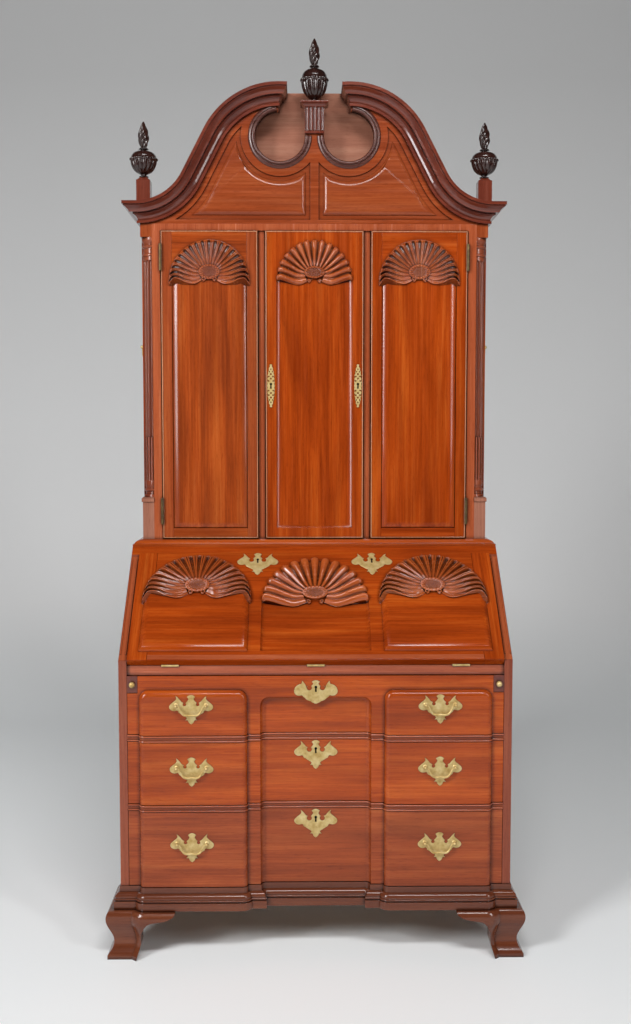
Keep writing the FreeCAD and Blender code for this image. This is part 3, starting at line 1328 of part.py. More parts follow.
def urn(x, y, z, h):
    """Turned urn: stem, bowl, ridge, domed cover and collar."""
    r = URN_R
    rows = [(0, 0), (0.36, 0), (0.20, 0.05), (0.30, 0.10), (0.58, 0.17), (0.82, 0.29), (0.96, 0.44),
            (1.0, 0.56), (1.08, 0.60), (1.06, 0.64), (0.96, 0.66), (0.90, 0.74), (0.74, 0.83),
            (0.46, 0.89), (0.22, 0.91),
            (0.20, 0.95), (0.36, 0.97), (0.36, 1.0), (0, 1.0)]
    return turned([(r * a, z + h * b) for a, b in rows], x, y)


FLAME_ROWS = ((0.0, 0.42), (0.12, 0.72), (0.30, 0.98), (0.48, 1.0), (0.66, 0.82), (0.84, 0.48), (1.0, 0.12))
FLAME_LOBES = 5
FLAME_TWIST = 150.0
FLAME_GROOVE = 0.74


def flame(x, y, z):
    """Spiral flame: lobed sections that turn and taper as they rise."""
    wires = []
    count = FLAME_LOBES * 2
    for share, width in FLAME_ROWS:
        points = []
        for i in range(count):
            angle = 2 * math.pi * i / count + math.radians(FLAME_TWIST * share)
            radius = FLAME_R * width * (1 if i % 2 == 0 else FLAME_GROOVE)
            points.append(V(x + radius * math.cos(angle), y + radius * math.sin(angle), z + FLAME_H * share))
        wires.append(Part.makePolygon(points + [points[0]]))
    return Part.makeLoft(wires, True, True)


def make_finials():
    roof = scroll_points(CORNICE_H)["start"].z
    front = BOOK_FRONT + CENTRE_PLINTH_D / 2 - RING_P
    plinth, top = centre_plinth(front)
    side_x = BOOK_HALF - SIDE_PLINTH_W / 4
    side_y = BOOK_FRONT + SIDE_PLINTH_W / 2
    sides, side_top = side_plinth(side_x, side_y, roof)
    sides = sides.cut(tympanum_half(CORNICE_H, PEDIMENT_Z, BOOK_FRONT, CASE_D))
    save("finial_plinths", plinth, sides, mirrored(sides))
    urns = [urn(0, front, top, CENTRE_URN_H)]
    flames = [flame(0, front, top + CENTRE_URN_H)]
    for x in (-side_x, side_x):
        urns.append(urn(x, side_y, side_top, SIDE_URN_H))
        flames.append(flame(x, side_y, side_top + SIDE_URN_H))
    save("finials", *(urns + flames))


# Side carrying handles and lopers

SIDE_HANDLE_RISE = 575.0


def side_handle(shape, side):
    """Turn a pull from the front on to the right (1) or left (-1) side of the bookcase."""
    hung = shape.copy()
    hung.rotate(V(0, 0, 0), Z_AXIS, side * 90)
    hung.translate(V(side * BOOK_HALF, (BOOK_FRONT + COLUMN_R + CASE_D) / 2, BOOK_Z + SIDE_HANDLE_RISE))
    return hung


def make_side_handles():
    plate = pull_plate(0, 0, 0)
    handle = bail(0, 0, 0)
    save("side_handle_plates", side_handle(plate, 1), side_handle(plate, -1))
    save("right_side_bail", side_handle(handle, 1))
    save("left_side_bail", side_handle(handle, -1))


def loper_knob(x, z):
    rows = [(0, 0), (0.45, 0), (0.40, 0.35), (0.95, 0.60), (1.0, 0.95), (0.75, 1.35), (0.30, 1.55), (0, 1.6)]
    knob = turned([(KNOB_R * a, KNOB_R * b) for a, b in rows], 0, 0)
    knob.rotate(V(0, 0, 0), X_AXIS, 90)
    knob.translate(V(x, 0, z))
    return knob


def make_lopers():
    bar = box(LOPER_IN, LOPER_IN + LOPER_W, 0, LOPER_LEN, LOPER_Z, LOPER_Z + LOPER_H)
    knob = loper_knob(LOPER_IN + LOPER_W / 2, LOPER_Z + LOPER_H / 2)
    save("right_loper", bar)
    save("left_loper", mirrored(bar))
    save("right_loper_knob", knob)
    save("left_loper_knob", mirrored(knob))


def make_desk():
    sides = both(desk_side())
    save("desk_sides", *sides)
    save("desk_top", desk_top())
    bottom = box(-INSIDE_HALF, INSIDE_HALF, FRONT_BACK, CASE_D, BASE_TOP - BOTTOM_T, BASE_TOP)
    save("desk_bottom", bottom)
    save("desk_back", *desk_back_boards())
    board = box(-INSIDE_HALF, INSIDE_HALF, AXIS_Y + EDGE_GAP, BACK_FACE, TOP_HIGH, WRITING_Z)
    rooms = [lid_hinge_room(x, False) for x in HINGE_XS]
    save("writing_board", board.cut(Part.makeCompound(rooms)))
    save("drawer_dividers", *[divider(high) for low, high in LEVELS[:-1]])
    save("drawer_runners", *drawer_runners())
    save("base_moulding", *base_moulding(sides))
    foot = front_foot()
    save("front_feet", foot, mirrored(foot))
    foot = rear_foot()
    save("rear_feet", foot, mirrored(foot))
    save("pigeonholes", *pigeonholes())
    save("waist_moulding", *waist_moulding())


def make_bookcase():
    save("bookcase_case", *bookcase_case())
    save("bookcase_back", *bookcase_back())
    save("bookcase_shelves", *bookcase_shelves())
    save("face_frame", *face_frame())
    columns, blocks = corner_pieces()
    save("corner_columns", *(columns + blocks))


make_desk()
make_drawers()
make_lopers()
lid_plates = make_lid()
make_bookcase()
fixed_lid, moving_lid = lid_hinges()
save("lid_brasses", *(lid_plates + moving_lid))
save("case_hinges", *(make_doors() + fixed_lid))
make_pediment()
make_finials()
make_side_handles()
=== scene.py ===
"""Looks of the block-front bureau bookcase: polished mahogany, carved shells and cast brass."""
import math
from typing import NamedTuple

import bmesh
import bpy
from mathutils import Matrix, Vector
from mathutils.geometry import tessellate_polygon


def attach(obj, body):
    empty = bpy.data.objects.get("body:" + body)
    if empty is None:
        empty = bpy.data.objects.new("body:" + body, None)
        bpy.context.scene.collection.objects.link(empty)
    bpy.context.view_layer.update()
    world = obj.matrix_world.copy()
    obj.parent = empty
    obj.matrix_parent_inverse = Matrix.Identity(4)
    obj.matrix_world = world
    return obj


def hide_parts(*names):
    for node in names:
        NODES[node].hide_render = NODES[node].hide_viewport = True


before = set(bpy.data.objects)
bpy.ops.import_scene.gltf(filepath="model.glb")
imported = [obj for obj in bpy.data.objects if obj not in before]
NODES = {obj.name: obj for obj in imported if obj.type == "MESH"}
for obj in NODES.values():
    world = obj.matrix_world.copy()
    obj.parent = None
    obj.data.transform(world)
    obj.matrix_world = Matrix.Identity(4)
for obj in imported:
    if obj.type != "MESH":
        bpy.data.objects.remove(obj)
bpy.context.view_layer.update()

MM = 0.001

# Photograph's view: where the camera stood, from a fit to the outline
CAMERA_X = -0.040
CAMERA_FROM_CASE = 3.0
CAMERA_HEIGHT = 1.416
CAMERA_PITCH = 0.069
CAMERA_YAW = 0.013
CAMERA_FOCAL_PX = 1129.986
IMAGE_LONG_PX = 1024
SENSOR_MM = 36.0

# Planes and levels of the part, in millimetres in its own frame
CASE_FRONT_Y = -263.25
BLOCK_FRONT_Y = CASE_FRONT_Y - 17.0
RECESS_Y = CASE_FRONT_Y + 18.0
WRITING_Z = 794.0
DESK_TOP_Z = 1089.0
BOOK_TOP_Z = 2021.0
SLANT = math.atan2(280.0, 286.0)
LID_T = 26.0
LID_AXIS_Y = CASE_FRONT_Y + 17.0 / math.sin(SLANT) - 15.0 / math.tan(SLANT)
DOOR_FACE_Y = CASE_FRONT_Y + 309.0
DOOR_LOW = DESK_TOP_Z + 21.4
DOOR_HIGH = BOOK_TOP_Z - 20.2
DOOR_T = 22.0
DOOR_STILE = 31.0
DOOR_RAIL = 30.0
OUTER_DOOR = (164.6, 443.6)
CENTRE_DOOR_HALF = 142.2


# Materials

def srgb(hex_colour):
    """An sRGB hex colour as linear RGBA."""
    channels = [int(hex_colour[i:i + 2], 16) / 255 for i in (1, 3, 5)]
    linear = [c / 12.92 if c <= 0.04045 else ((c + 0.055) / 1.055) ** 2.4 for c in channels]
    return (*linear, 1.0)


def add(tree, kind, links=None, **settings):
    """Add a node; links holds input values or the sockets that feed them."""
    made = tree.nodes.new(kind)
    for key, value in settings.items():
        setattr(made, key, value)
    for key, value in (links or {}).items():
        if isinstance(value, bpy.types.NodeSocket):
            tree.links.new(value, made.inputs[key])
        else:
            made.inputs[key].default_value = value
    return made


def new_material(name):
    """A material with a plain Principled surface."""
    material = bpy.data.materials.new(name)
    material.use_nodes = True
    tree = material.node_tree
    tree.nodes.clear()
    shader = add(tree, "ShaderNodeBsdfPrincipled")
    add(tree, "ShaderNodeOutputMaterial", {"Surface": shader.outputs["BSDF"]})
    return material, tree, shader


def ramp(tree, factor, stops):
    """Colour ramp from (place, hex colour) stops."""
    made = add(tree, "ShaderNodeValToRGB", {"Fac": factor})
    elements = made.color_ramp.elements
    while len(elements) < len(stops):
        elements.new(0.5)
    for element, (place, colour) in zip(elements, stops):
        element.position = place
        element.color = srgb(colour)
    return made.outputs["Color"]


def remap(tree, value, low, high, to_low, to_high):
    """A value's range moved to another, held at its ends."""
    return add(tree, "ShaderNodeMapRange", {"Value": value, "From Min": low, "From Max": high,
                                            "To Min": to_low, "To Max": to_high}).outputs["Result"]


def mixed(tree, factor, first, second, blend="MIX"):
    """Two colours mixed by a factor."""
    return add(tree, "ShaderNodeMix", {"Factor": factor, 6: first, 7: second}, data_type="RGBA",
               blend_type=blend).outputs[2]


# Turns that bring a grain's axis to X
GRAIN_TURNS = {"x": (0, 0, 0), "y": (0, 0, -math.pi / 2), "z": (0, math.pi / 2, 0),
               "slope": (0, math.pi / 2, 0)}
# Wood's layers: width across the grain in millimetres, stretch along it, detail, roughness, distortion
FIGURE = (34.0, 16, 2.0, 0.5, 0.1)
STREAKS = (6.0, 40, 2.0, 0.5, 0.1)
GRAIN = (1.8, 60, 3.0, 0.6, 0.0)
PORES = (1.2, 18, 2.0, 0.5, 0.0)
CLOUDS = (60.0, 8, 3.0, 0.55, 0.5)
FIGURE_SHARE, STREAK_SHARE, GRAIN_SHARE = 0.40, 0.30, 0.30
COLOUR_STOPS = (0.28, 0.50, 0.72)
# Ranges of a layer and what they become
CLOUD_RANGE = (0.42, 0.78, 0.0, 0.78)
PORE_RANGE = (0.57, 0.70, 0.0, 0.30)
STREAK_RANGE = (0.3, 0.7)
GLOSS_SPREAD = (-0.05, 0.08)
HOLLOW_REACH_MM = 11.0
EDGE_ROUND_MM = 0.9
PORE_DEPTH_MM = 0.3
PORE_STRENGTH = 0.10
COAT_ROUGHNESS = 0.10
# Near-black of old polish, also laid into recesses as painted shade
OLD_POLISH_AND_SHADE = "#1d0a05"


def along_grain(tree, coords, axis, across_mm, stretch):
    """Coordinates turned so that the grain runs along X, in units of a width across it."""
    def mapped(vector, key, value):
        return add(tree, "ShaderNodeMapping", {"Vector": vector, key: value}).outputs["Vector"]

    turned = coords
    if axis == "slope":
        turned = mapped(turned, "Rotation", (-SLANT + math.pi / 2, 0, 0))
    turned = mapped(turned, "Rotation", GRAIN_TURNS[axis])
    unit = 1 / (across_mm * MM)
    return mapped(turned, "Scale", (unit / stretch, unit, unit))


def open_share(tree, reach_mm):
    """How open a point lies, from 0 in a deep hollow to 1 on a flat."""
    return add(tree, "ShaderNodeAmbientOcclusion", {"Distance": reach_mm * MM}, samples=6).outputs["AO"]


def bumped(tree, shader, height, strength, depth_mm, round_mm):
    """Fine relief on a surface whose sharp edges are rubbed round."""
    rubbed = add(tree, "ShaderNodeBevel", {"Radius": round_mm * MM}, samples=4).outputs["Normal"]
    bump = add(tree, "ShaderNodeBump", {"Height": height, "Strength": strength, "Distance": depth_mm * MM,
                                        "Normal": rubbed})
    tree.links.new(bump.outputs["Normal"], shader.inputs["Normal"])


def polished_wood(name, axis, deep, mid, light, polish_and_shade=0.85, rough=0.18, coat=0.06, shine=0.28,
                  shade=(0.45, 0.965)):
    """Planed hardwood under old shellac: soft figure, dark streaks, fine pores, polish clouded in
    places, hollows darkened by old polish and by painted shade, edges rubbed round, and a clear gloss over it
    all."""
    material, tree, shader = new_material(name)
    coords = add(tree, "ShaderNodeTexCoord").outputs["Object"]

    def noise(across_mm, stretch, detail, roughness, distortion):
        vector = along_grain(tree, coords, axis, across_mm, stretch)
        return add(tree, "ShaderNodeTexNoise", {"Vector": vector, "Scale": 1.0, "Detail": detail,
                                                "Roughness": roughness, "Distortion": distortion}
                   ).outputs["Fac"]

    streaks = noise(*STREAKS)
    pores = noise(*PORES)
    blend = add(tree, "ShaderNodeMath", {0: noise(*FIGURE), 1: FIGURE_SHARE}, operation="MULTIPLY").outputs[0]
    for layer, share in ((streaks, STREAK_SHARE), (noise(*GRAIN), GRAIN_SHARE)):
        blend = add(tree, "ShaderNodeMath", {0: layer, 1: share, 2: blend},
                    operation="MULTIPLY_ADD").outputs[0]
    colour = ramp(tree, blend, tuple(zip(COLOUR_STOPS, (deep, mid, light))))
    colour = mixed(tree, remap(tree, noise(*CLOUDS), *CLOUD_RANGE), colour, srgb(deep))
    colour = mixed(tree, remap(tree, pores, *PORE_RANGE), colour, srgb(deep), "MULTIPLY")
    # Hollows darkened towards old polish: partly real build-up, partly painted shade where little light
    # reaches
    hollow = remap(tree, open_share(tree, HOLLOW_REACH_MM), *shade, polish_and_shade, 0.0)
    colour = mixed(tree, hollow, colour, srgb(OLD_POLISH_AND_SHADE))
    tree.links.new(colour, shader.inputs["Base Color"])
    gloss = remap(tree, streaks, *STREAK_RANGE, rough + GLOSS_SPREAD[0], rough + GLOSS_SPREAD[1])
    tree.links.new(gloss, shader.inputs["Roughness"])
    bumped(tree, shader, pores, PORE_STRENGTH, PORE_DEPTH_MM, EDGE_ROUND_MM)
    shader.inputs["Specular IOR Level"].default_value = shine
    shader.inputs["Coat Weight"].default_value = coat
    shader.inputs["Coat Roughness"].default_value = COAT_ROUGHNESS
    return material


STAIN_MM = 16.0
GRIT_MM = 2.2
GRIT_DEPTH_MM = 0.4
GRIT_STRENGTH = 0.12
BRASS_REACH_MM = 4.0
BRASS_ROUND_MM = 0.5
BRASS_SHADE = (0.3, 0.9, 0.7, 0.0)
BRASS_ROUGHNESS = (0.52, 0.38)
BRASS_METAL = 0.55
BRASS_GRIME = "#3a2712"


def cast_brass(name, deep, mid, light):
    """Cast brass, cleaned on the raised parts and left dull brown in the hollows."""
    material, tree, shader = new_material(name)
    coords = add(tree, "ShaderNodeTexCoord").outputs["Object"]
    stain = add(tree, "ShaderNodeTexNoise", {"Vector": coords, "Scale": 1 / (STAIN_MM * MM), "Detail": 4.0,
                                             "Roughness": 0.6}).outputs["Fac"]
    colour = ramp(tree, stain, ((0.30, deep), (0.50, mid), (0.70, light)))
    hollow = remap(tree, open_share(tree, BRASS_REACH_MM), *BRASS_SHADE)
    colour = mixed(tree, hollow, colour, srgb(BRASS_GRIME))
    tree.links.new(colour, shader.inputs["Base Color"])
    rough = remap(tree, stain, 0.3, 0.7, *BRASS_ROUGHNESS)
    tree.links.new(rough, shader.inputs["Roughness"])
    grit = add(tree, "ShaderNodeTexNoise", {"Vector": coords, "Scale": 1 / (GRIT_MM * MM), "Detail": 2.0}
               ).outputs["Fac"]
    bumped(tree, shader, grit, GRIT_STRENGTH, GRIT_DEPTH_MM, BRASS_ROUND_MM)
    shader.inputs["Metallic"].default_value = BRASS_METAL
    return material


RUST_MM = 3.0


def lock_iron_in_shade(name):
    """Wrought iron of a lock seen through its keyhole: nearly black as painted shade inside the hole, with a
    little rust.
    """
    material, tree, shader = new_material(name)
    coords = add(tree, "ShaderNodeTexCoord").outputs["Object"]
    rust = add(tree, "ShaderNodeTexNoise", {"Vector": coords, "Scale": 1 / (RUST_MM * MM), "Detail": 2.0}
               ).outputs["Fac"]
    tree.links.new(ramp(tree, rust, ((0.4, "#060504"), (0.7, "#140c08"))), shader.inputs["Base Color"])
    shader.inputs["Roughness"].default_value = 0.9
    shader.inputs["Specular IOR Level"].default_value = 0.05
    return material


class Wood(dict):
    """A wood's materials by the axis of the grain, each made when it is first asked for."""

    def __init__(self, name, *colours, **finish):
        super().__init__()
        self.name = name
        self.colours = colours
        self.finish = finish

    def __missing__(self, axis):
        self[axis] = polished_wood(f"{self.name}_{axis}", axis, *self.colours, **self.finish)
        return self[axis]


# Doors and fall front: the warm orange that the eye takes for the whole piece
MAHOGANY = Wood("mahogany", "#702406", "#a4400d", "#c45f1c")
# Left door: a browner board than its neighbours
DOOR_MAHOGANY = Wood("door_mahogany", "#662812", "#a04417", "#bc6026")
# Upper drawers: redder under the same polish
RED_MAHOGANY = Wood("red_mahogany", "#762b0b", "#aa4713", "#c66322")
# Bottom drawer: darkened as painted shade, less light falling low down; the left door's stiles: a duller red
DULL_SHADED_MAHOGANY = Wood("dull_shaded_mahogany", "#703018", "#9c4722", "#b86231")
# Pediment's ground and drawer dividers: darkened as painted shade where less light falls in, so that fields
# and drawers stand out before them
SHADED_DEEP_MAHOGANY = Wood("shaded_deep_mahogany", "#6e2c14", "#8c3d1c", "#a65429")
# Pediment's raised fields: a shade warmer than their ground
PANEL_MAHOGANY = Wood("panel_mahogany", "#702e16", "#8e401e", "#a8572b")
# Desk sides and columns: a greyer brown that stays quiet beside the front
BROWN_MAHOGANY = Wood("brown_mahogany", "#743423", "#8e472e", "#a05a3e", coat=0.1, shine=0.3)
# Cornice, lopers and finial plinths: dark and glossy, so that highlights draw the scrolls
DARK_MAHOGANY = Wood("dark_mahogany", "#56241a", "#6c3021", "#7e3c29", rough=0.14, coat=0.25, shine=0.5)
# Base and feet: dark umber that grounds the piece, with highlights along the ogee
UMBER_MAHOGANY = Wood("umber_mahogany", "#582a1a", "#6b3721", "#7e462c", rough=0.16, coat=0.2, shine=0.35)
# Rings in the pediment: nearly black frames round the two openings
STAINED_MAHOGANY = Wood("stained_mahogany", "#42211a", "#52291f", "#643629", rough=0.28, coat=0.1, shine=0.35)
# Shells: bright ridges over hollows made black by old polish and painted shade
CARVED_MAHOGANY = Wood("carved_mahogany", "#8e3c16", "#aa5020", "#c26a32", polish_and_shade=0.96, rough=0.20, coat=0.3,
                       shine=0.5, shade=(0.40, 0.95))
# Finials: stained almost black, so that urns and flames stand out against the wall
EBONISED = Wood("dark_stained_mahogany", "#1e0e0a", "#301712", "#42221a", rough=0.20, coat=0.4, shine=0.5)
# Bonnet and column plinths: dusty and matt, pale beside the polished front
DUSTY_MAHOGANY = Wood("dusty_mahogany", "#8a5643", "#a26c57", "#b4836c", polish_and_shade=0.6, rough=0.6, coat=0.0,
                      shine=0.1)
# Beads, face frame and the rail over the drawers: edges rubbed by years of hands, and made paler as a painted
# highlight
BEAD_MAHOGANY = Wood("bead_mahogany", "#8c3f20", "#a6512d", "#bb663e", rough=0.20, coat=0.4, shine=0.5)
# Beads of the doors: pale as a painted highlight, the palest lines of all, one round each door
PAINTED_HIGHLIGHT_MAHOGANY = Wood("painted_highlight_mahogany", "#a5643f", "#bb7b52", "#ca926b", rough=0.24, coat=0.1, shine=0.3)
# Backs, bottoms and drawer boxes: dry, unpolished and greyish brown
CHESTNUT = Wood("chestnut", "#6e4d30", "#8d6a46", "#a5835c", rough=0.6, coat=0.0)
# Pulls and plates: pale gold with a soft shine; door hinges: brown and nearly lost beside the wood
BRASS = cast_brass("cast_brass", "#b09051", "#c9ae72", "#dac58f")
TARNISHED_BRASS = cast_brass("tarnished_brass", "#3a2e18", "#544324", "#6e5a32")
# Iron nearly black as painted shade in the keyholes
IRON_IN_SHADE = lock_iron_in_shade("lock_iron_in_shade")

FINISHES = (
    (TARNISHED_BRASS, ("left_door_hinges", "right_door_hinges", "case_hinges")),
    (MAHOGANY["x"], ("desk_top", "pigeonholes", "bookcase_shelves", "lid_board", "lid_shells")),
    (MAHOGANY["z"], ("bookcase_case", "left_door", "right_door", "centre_door", "left_door_shell",
                     "right_door_shell", "centre_door_shell")),
    (RED_MAHOGANY["x"], ("waist_moulding", "top_drawer_front", "middle_drawer_front")),
    (RED_MAHOGANY["z"], ("corner_columns", "finial_plinths")),
    # Bottom drawer: darker as painted shade
    (DULL_SHADED_MAHOGANY["x"], ("bottom_drawer_front",)),
    # Dividers and the pediment's ground: wood darkened as painted shade
    (SHADED_DEEP_MAHOGANY["x"], ("drawer_dividers", "tympanum", "tympanum_panels")),
    (BROWN_MAHOGANY["z"], ("desk_sides",)),
    (DARK_MAHOGANY["x"], ("cornice",)),
    (DARK_MAHOGANY["y"], ("left_loper", "right_loper")),
    (UMBER_MAHOGANY["x"], ("base_moulding", "front_feet", "rear_feet")),
    (STAINED_MAHOGANY["x"], ("scroll_rings",)),
    (EBONISED["z"], ("finials",)),
    (DUSTY_MAHOGANY["x"], ("bonnet",)),
    (BEAD_MAHOGANY["x"], ("writing_board",)),
    (BEAD_MAHOGANY["z"], ("face_frame",)),
    (CHESTNUT["x"], ("desk_bottom", "desk_back", "top_drawer_box", "middle_drawer_box", "bottom_drawer_box")),
    (CHESTNUT["y"], ("drawer_runners",)),
    (CHESTNUT["z"], ("bookcase_back",)),
)


def finish_nodes():
    """Each CAD node gets its finish; what has none in the list is brass."""
    finish_of = {name: material for material, names in FINISHES for name in names}
    for name, obj in NODES.items():
        obj.data.materials.clear()
        obj.data.materials.append(finish_of.get(name, BRASS))


finish_nodes()


# Building blocks: pieces are drawn in millimetres on a face (across, along, out) and put in place

def face_place(x, y, z, lean=math.pi / 2):
    """Matrix from (across, along, out) in millimetres on a face to metres; lean is from level."""
    along = Vector((0, math.cos(lean), math.sin(lean)))
    out = Vector((0, -math.sin(lean), math.cos(lean)))
    turn = Matrix((Vector((1, 0, 0)), along, out)).transposed().to_4x4()
    return Matrix.Translation(Vector((x, y, z)) * MM) @ turn @ Matrix.Scale(MM, 4)


def drawn(points, faces):
    """A bmesh of points and faces."""
    build = bmesh.new()
    verts = [build.verts.new(p) for p in points]
    for face in faces:
        build.faces.new([verts[i] for i in face])
    return build


def joined(parts):
    """One bmesh from several (points, faces) parts."""
    points, faces = [], []
    for more_points, more_faces in parts:
        start = len(points)
        points += list(more_points)
        faces += [tuple(i + start for i in face) for face in more_faces]
    return drawn(points, faces)


def keep_flat(obj):
    """Weigh the normals by area, so that broad faces shade flat beside their eased edges."""
    weigh = obj.modifiers.new("weigh", "WEIGHTED_NORMAL")
    weigh.keep_sharp = True
    weigh.weight = 100
    plain = obj.data
    graph = bpy.context.evaluated_depsgraph_get()
    obj.data = bpy.data.meshes.new_from_object(obj.evaluated_get(graph))
    obj.modifiers.clear()
    bpy.data.meshes.remove(plain)
    obj.data.name = obj.name


def piece(name, build, place, material, body, slot, *nodes, sharp=38):
    """Finish a bmesh as an object that rides on a body and stands for CAD nodes."""
    bmesh.ops.remove_doubles(build, verts=build.verts, dist=1e-4)
    bmesh.ops.recalc_face_normals(build, faces=build.faces)
    build.transform(place)
    mesh = bpy.data.meshes.new(name)
    build.to_mesh(mesh)
    build.free()
    mesh.shade_smooth()
    mesh.set_sharp_from_angle(angle=math.radians(sharp))
    mesh.materials.append(material)
    obj = bpy.data.objects.new(name, mesh)
    bpy.context.collection.objects.link(obj)
    keep_flat(obj)
    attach(obj, body)
    if nodes:
        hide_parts(*nodes)
    return obj


def grid_faces(columns, rows, closed=False):
    """Quads over columns of points, column by column; closed joins the last column to the first."""
    faces = []
    last = columns if closed else columns - 1
    for i in range(last):
        here, there = i * rows, (i + 1) % columns * rows
        for j in range(rows - 1):
            faces.append((here + j, there + j, there + j + 1, here + j + 1))
    return faces


def rings(outlines, cap_start=False, cap_end=True):
    """Closed outlines of equal length joined into a skin, with flat caps."""
    count = len(outlines[0])
    points = [p for outline in outlines for p in outline]
    faces = []
    for k in range(len(outlines) - 1):
        for i in range(count):
            j = (i + 1) % count
            faces.append((k * count + i, k * count + j, (k + 1) * count + j, (k + 1) * count + i))
    if cap_start:
        faces.append(tuple(reversed(range(count))))
    if cap_end:
        faces.append(tuple(range((len(outlines) - 1) * count, len(outlines) * count)))
    return points, faces


def rectangle_rings(x0, x1, y0, y1, profile):
    """Rectangles drawn in by each (inset, height) of a profile."""
    return [[(x0 + d, y0 + d, h), (x1 - d, y0 + d, h), (x1 - d, y1 - d, h), (x0 + d, y1 - d, h)]
            for d, h in profile]


def box_part(x0, x1, y0, y1, low, high, ease=0.8):
    """Board with eased edges."""
    profile = [(ease, low), (0, low + ease), (0, high - ease), (ease * 0.3, high - ease * 0.3), (ease, high)]
    return rings(rectangle_rings(x0, x1, y0, y1, profile), cap_start=True)


def between(low, high, share):
    """Value at a share of the way from low to high."""
    return low + (high - low) * share


def smoothstep(low, high, value):
    """0 up to low, 1 from high on, eased between."""
    t = min(max((value - low) / (high - low), 0.0), 1.0)
    return t * t * (3 - 2 * t)


def through(points, t):
    """Smooth line through points at even steps of t, from 0 to 1."""
    last = len(points) - 1
    k = min(int(t * last), last - 1)
    f = t * last - k
    p = [Vector(points[min(max(k + i, 0), last)]) for i in (-1, 0, 1, 2)]
    return 0.5 * (2 * p[1] + (p[2] - p[0]) * f + (2 * p[0] - 5 * p[1] + 4 * p[2] - p[3]) * f * f
                  + (3 * p[1] - p[0] - 3 * p[2] + p[3]) * f ** 3)


def tube(path, radii, sides=10):
    """Round rod along points, with a radius at each; its ends are closed."""
    path = [Vector(p) for p in path]
    outlines = []
    side = Vector((0.31, 0.17, 0.94))
    for i, p in enumerate(path):
        run = (path[min(i + 1, len(path) - 1)] - path[max(i - 1, 0)]).normalized()
        side = (side - run * side.dot(run)).normalized()
        other = run.cross(side)
        angles = [2 * math.pi * k / sides for k in range(sides)]
        outlines.append([tuple(p + (side * math.cos(a) + other * math.sin(a)) * radii[i]) for a in angles])
    return rings(outlines, cap_start=True)


def turning(profile, sides, shape=None):
    """A turning from (radius, height) rows; shape may change the radius by (angle, height)."""
    outlines = []
    for radius, height in profile:
        ring = []
        for k in range(sides):
            angle = 2 * math.pi * k / sides
            r = shape(radius, angle, height) if shape else radius
            ring.append((r * math.cos(angle), r * math.sin(angle), height))
        outlines.append(ring)
    return rings(outlines, cap_start=True)


# Carved shells

RAY_STEPS = 22
SHELL_ROWS = 34
HUB_TURN = math.radians(122)
ARCH_SHARE = 0.7
BOSS_SIDES, BOSS_ROWS = 160, 34
BOSS_REACH = 1.06
BOSS_RISE = 1.6
BOSS_SKIRT = 6.0
HATCH_EDGE = 0.62
HATCH_PITCH = 0.60
HATCH_RISE = 2.4
PETALS = 18
PETAL_RISE = 4.4
CURL_STEPS = 25
CURL_TURNS = (-0.55, 1.85)
CURL_RADII = (2.3, 1.4)


def ridged(d):
    """Across half a ray of a bold shell: hollow flute at 0, a pair of ridges towards 1."""
    if d < 0.46:
        return -math.cos(math.pi / 2 * d / 0.46)
    return 0.62 * math.sin(math.pi * 0.86 * (d - 0.46) / 0.54)


def lobed(d):
    """Across half a ray of a hollow shell: rounded lobe at 0, a narrow cut towards 1."""
    if d < 0.70:
        return math.cos(math.pi / 2 * d / 0.70)
    return -0.9 * math.sin(math.pi / 2 * (d - 0.70) / 0.30)


